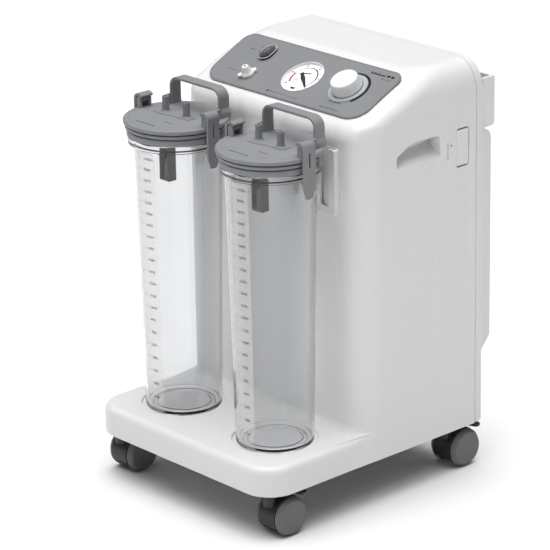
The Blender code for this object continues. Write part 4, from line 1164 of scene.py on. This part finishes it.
def make_casters():
    hood = hood_object()
    wheels = {"a": wheel_object(-1), "b": wheel_object(1)}
    for row in ("front", "rear"):
        for label in ("left", "right"):
            place = row + "_" + label
            axis = Vector(JOINTS["caster_swivel_" + place]["pos_m"])
            here = Matrix.Translation((axis.x, axis.y, 0))
            piece = copied(hood, "caster_hood_fine_" + place, here)
            show(piece, "caster_" + place, CASTER, "caster_grey", "caster_hood_" + place)
            for edge, wheel in wheels.items():
                node = "wheel_%s_%s" % (place, edge)
                hub = Vector(JOINTS[node + "_roll"]["pos_m"])
                disc = copied(wheel, node + "_fine", Matrix.Translation((axis.x, hub.y, hub.z)))
                show(disc, node, TREAD, "wheel_grey", node)
            brake = rounded(from_cad("caster_brake_" + place), 0.0006)
            show(brake, "caster_brake_" + place, CASTER, "caster_grey", "caster_brake_" + place)
            paint("caster_axle_" + place, STEEL)
    for spare in [hood] + list(wheels.values()):
        bpy.data.objects.remove(spare)


def paint(node, shader):
    """Better material on a CAD node that stays as it is."""
    body = NODES[node]
    if not body.material_slots:
        body.data.materials.append(shader)
    for slot in body.material_slots:
        slot.material = shader


def make_inner_parts():
    for node, shader in (("base_plate", STEEL), ("regulator_valve", STEEL), ("pump_motor", ALLOY),
                         ("pump_head", ALLOY), ("cooling_fan", BLACK), ("vacuum_filter", FILTER),
                         ("vacuum_hose", HOSE)):
        paint(node, shader)


# ---- studio

def lamp(name, kind, place, target, power, **settings):
    data = bpy.data.lights.new(name, kind)
    data.energy = power
    for key, value in settings.items():
        setattr(data, key, value)
    body = added(name, data)
    body.location = place
    body.rotation_euler = (Vector(target) - Vector(place)).to_track_quat("-Z", "Y").to_euler()


def make_studio():
    floor = thing("floor", prism(rectangle(-9, 9, -9, 9), -0.02, -0.0002))
    floor.data.materials.append(FLOOR_PAINT)
    world = bpy.data.worlds.new("studio")
    world.use_nodes = True
    tree = world.node_tree
    place = add_node(tree, "TexCoord").outputs["Generated"]
    height = add_node(tree, "SeparateXYZ", {"Vector": place}).outputs["Z"]
    rise = add_node(tree, "Math", {0: height, 1: 0.0}, operation="MAXIMUM").outputs["Value"]
    power = add_node(tree, "Math", {0: rise, 1: 8.0}, operation="POWER").outputs["Value"]
    glow = add_node(tree, "Math", {0: power, 1: 6.5, 2: 0.04}, operation="MULTIPLY_ADD").outputs["Value"]
    fill(tree, tree.nodes["Background"], {"Color": (1, 1, 1, 1), "Strength": glow})
    bpy.context.scene.world = world
    disk = {"shape": "DISK", "size": 1.2}
    lamp("left_light", "AREA", (-2.4, -1.6, 1.7), (0, 0, 0.3), 4, **disk)
    lamp("front_light", "AREA", (-0.4, -1.5, 2.9), (0, -0.1, 0.15), 7, **disk)
    lamp("wall_light", "SPOT", (0.45, -1.45, 0.75), (0.05, BODY_FRONT, 0.29), 32,
         spot_size=radians(17), spot_blend=0.8, shadow_soft_size=0.25)


def make_camera():
    """The photo's own view, fitted to the casing's straight edges."""
    turn, tilt, roll = radians(47.69), radians(19.94), radians(-0.99)
    ahead = Vector((-sin(turn) * cos(tilt), cos(turn) * cos(tilt), -sin(tilt)))
    right = Vector((cos(turn), sin(turn), 0))
    up = right.cross(ahead)
    target = Vector((0, behind(0.185), 0.25))
    distance, left, rise = 3.9782, 0.01199, 0.01279
    place = target - ahead * distance - right * left + up * rise
    side = right * cos(roll) + up * sin(roll)
    top = up * cos(roll) - right * sin(roll)
    data = bpy.data.cameras.new("camera")
    data.sensor_width = 36
    data.lens = 205.6
    data.clip_end = 60
    camera = added("camera", data)
    axes = Matrix((side, top, -ahead)).transposed()
    camera.matrix_world = Matrix.Translation(place) @ axes.to_4x4()
    bpy.context.scene.camera = camera
    bpy.context.scene.view_settings.view_transform = "Standard"


make_camera()
make_casing()
make_rear_cover()
make_back_parts()
make_holster()
make_hatch()
make_panel()
make_gauge()
make_knob()
make_switch()
make_port()
make_jars()
make_casters()
make_inner_parts()
make_studio()

bpy.context.view_layer.update()
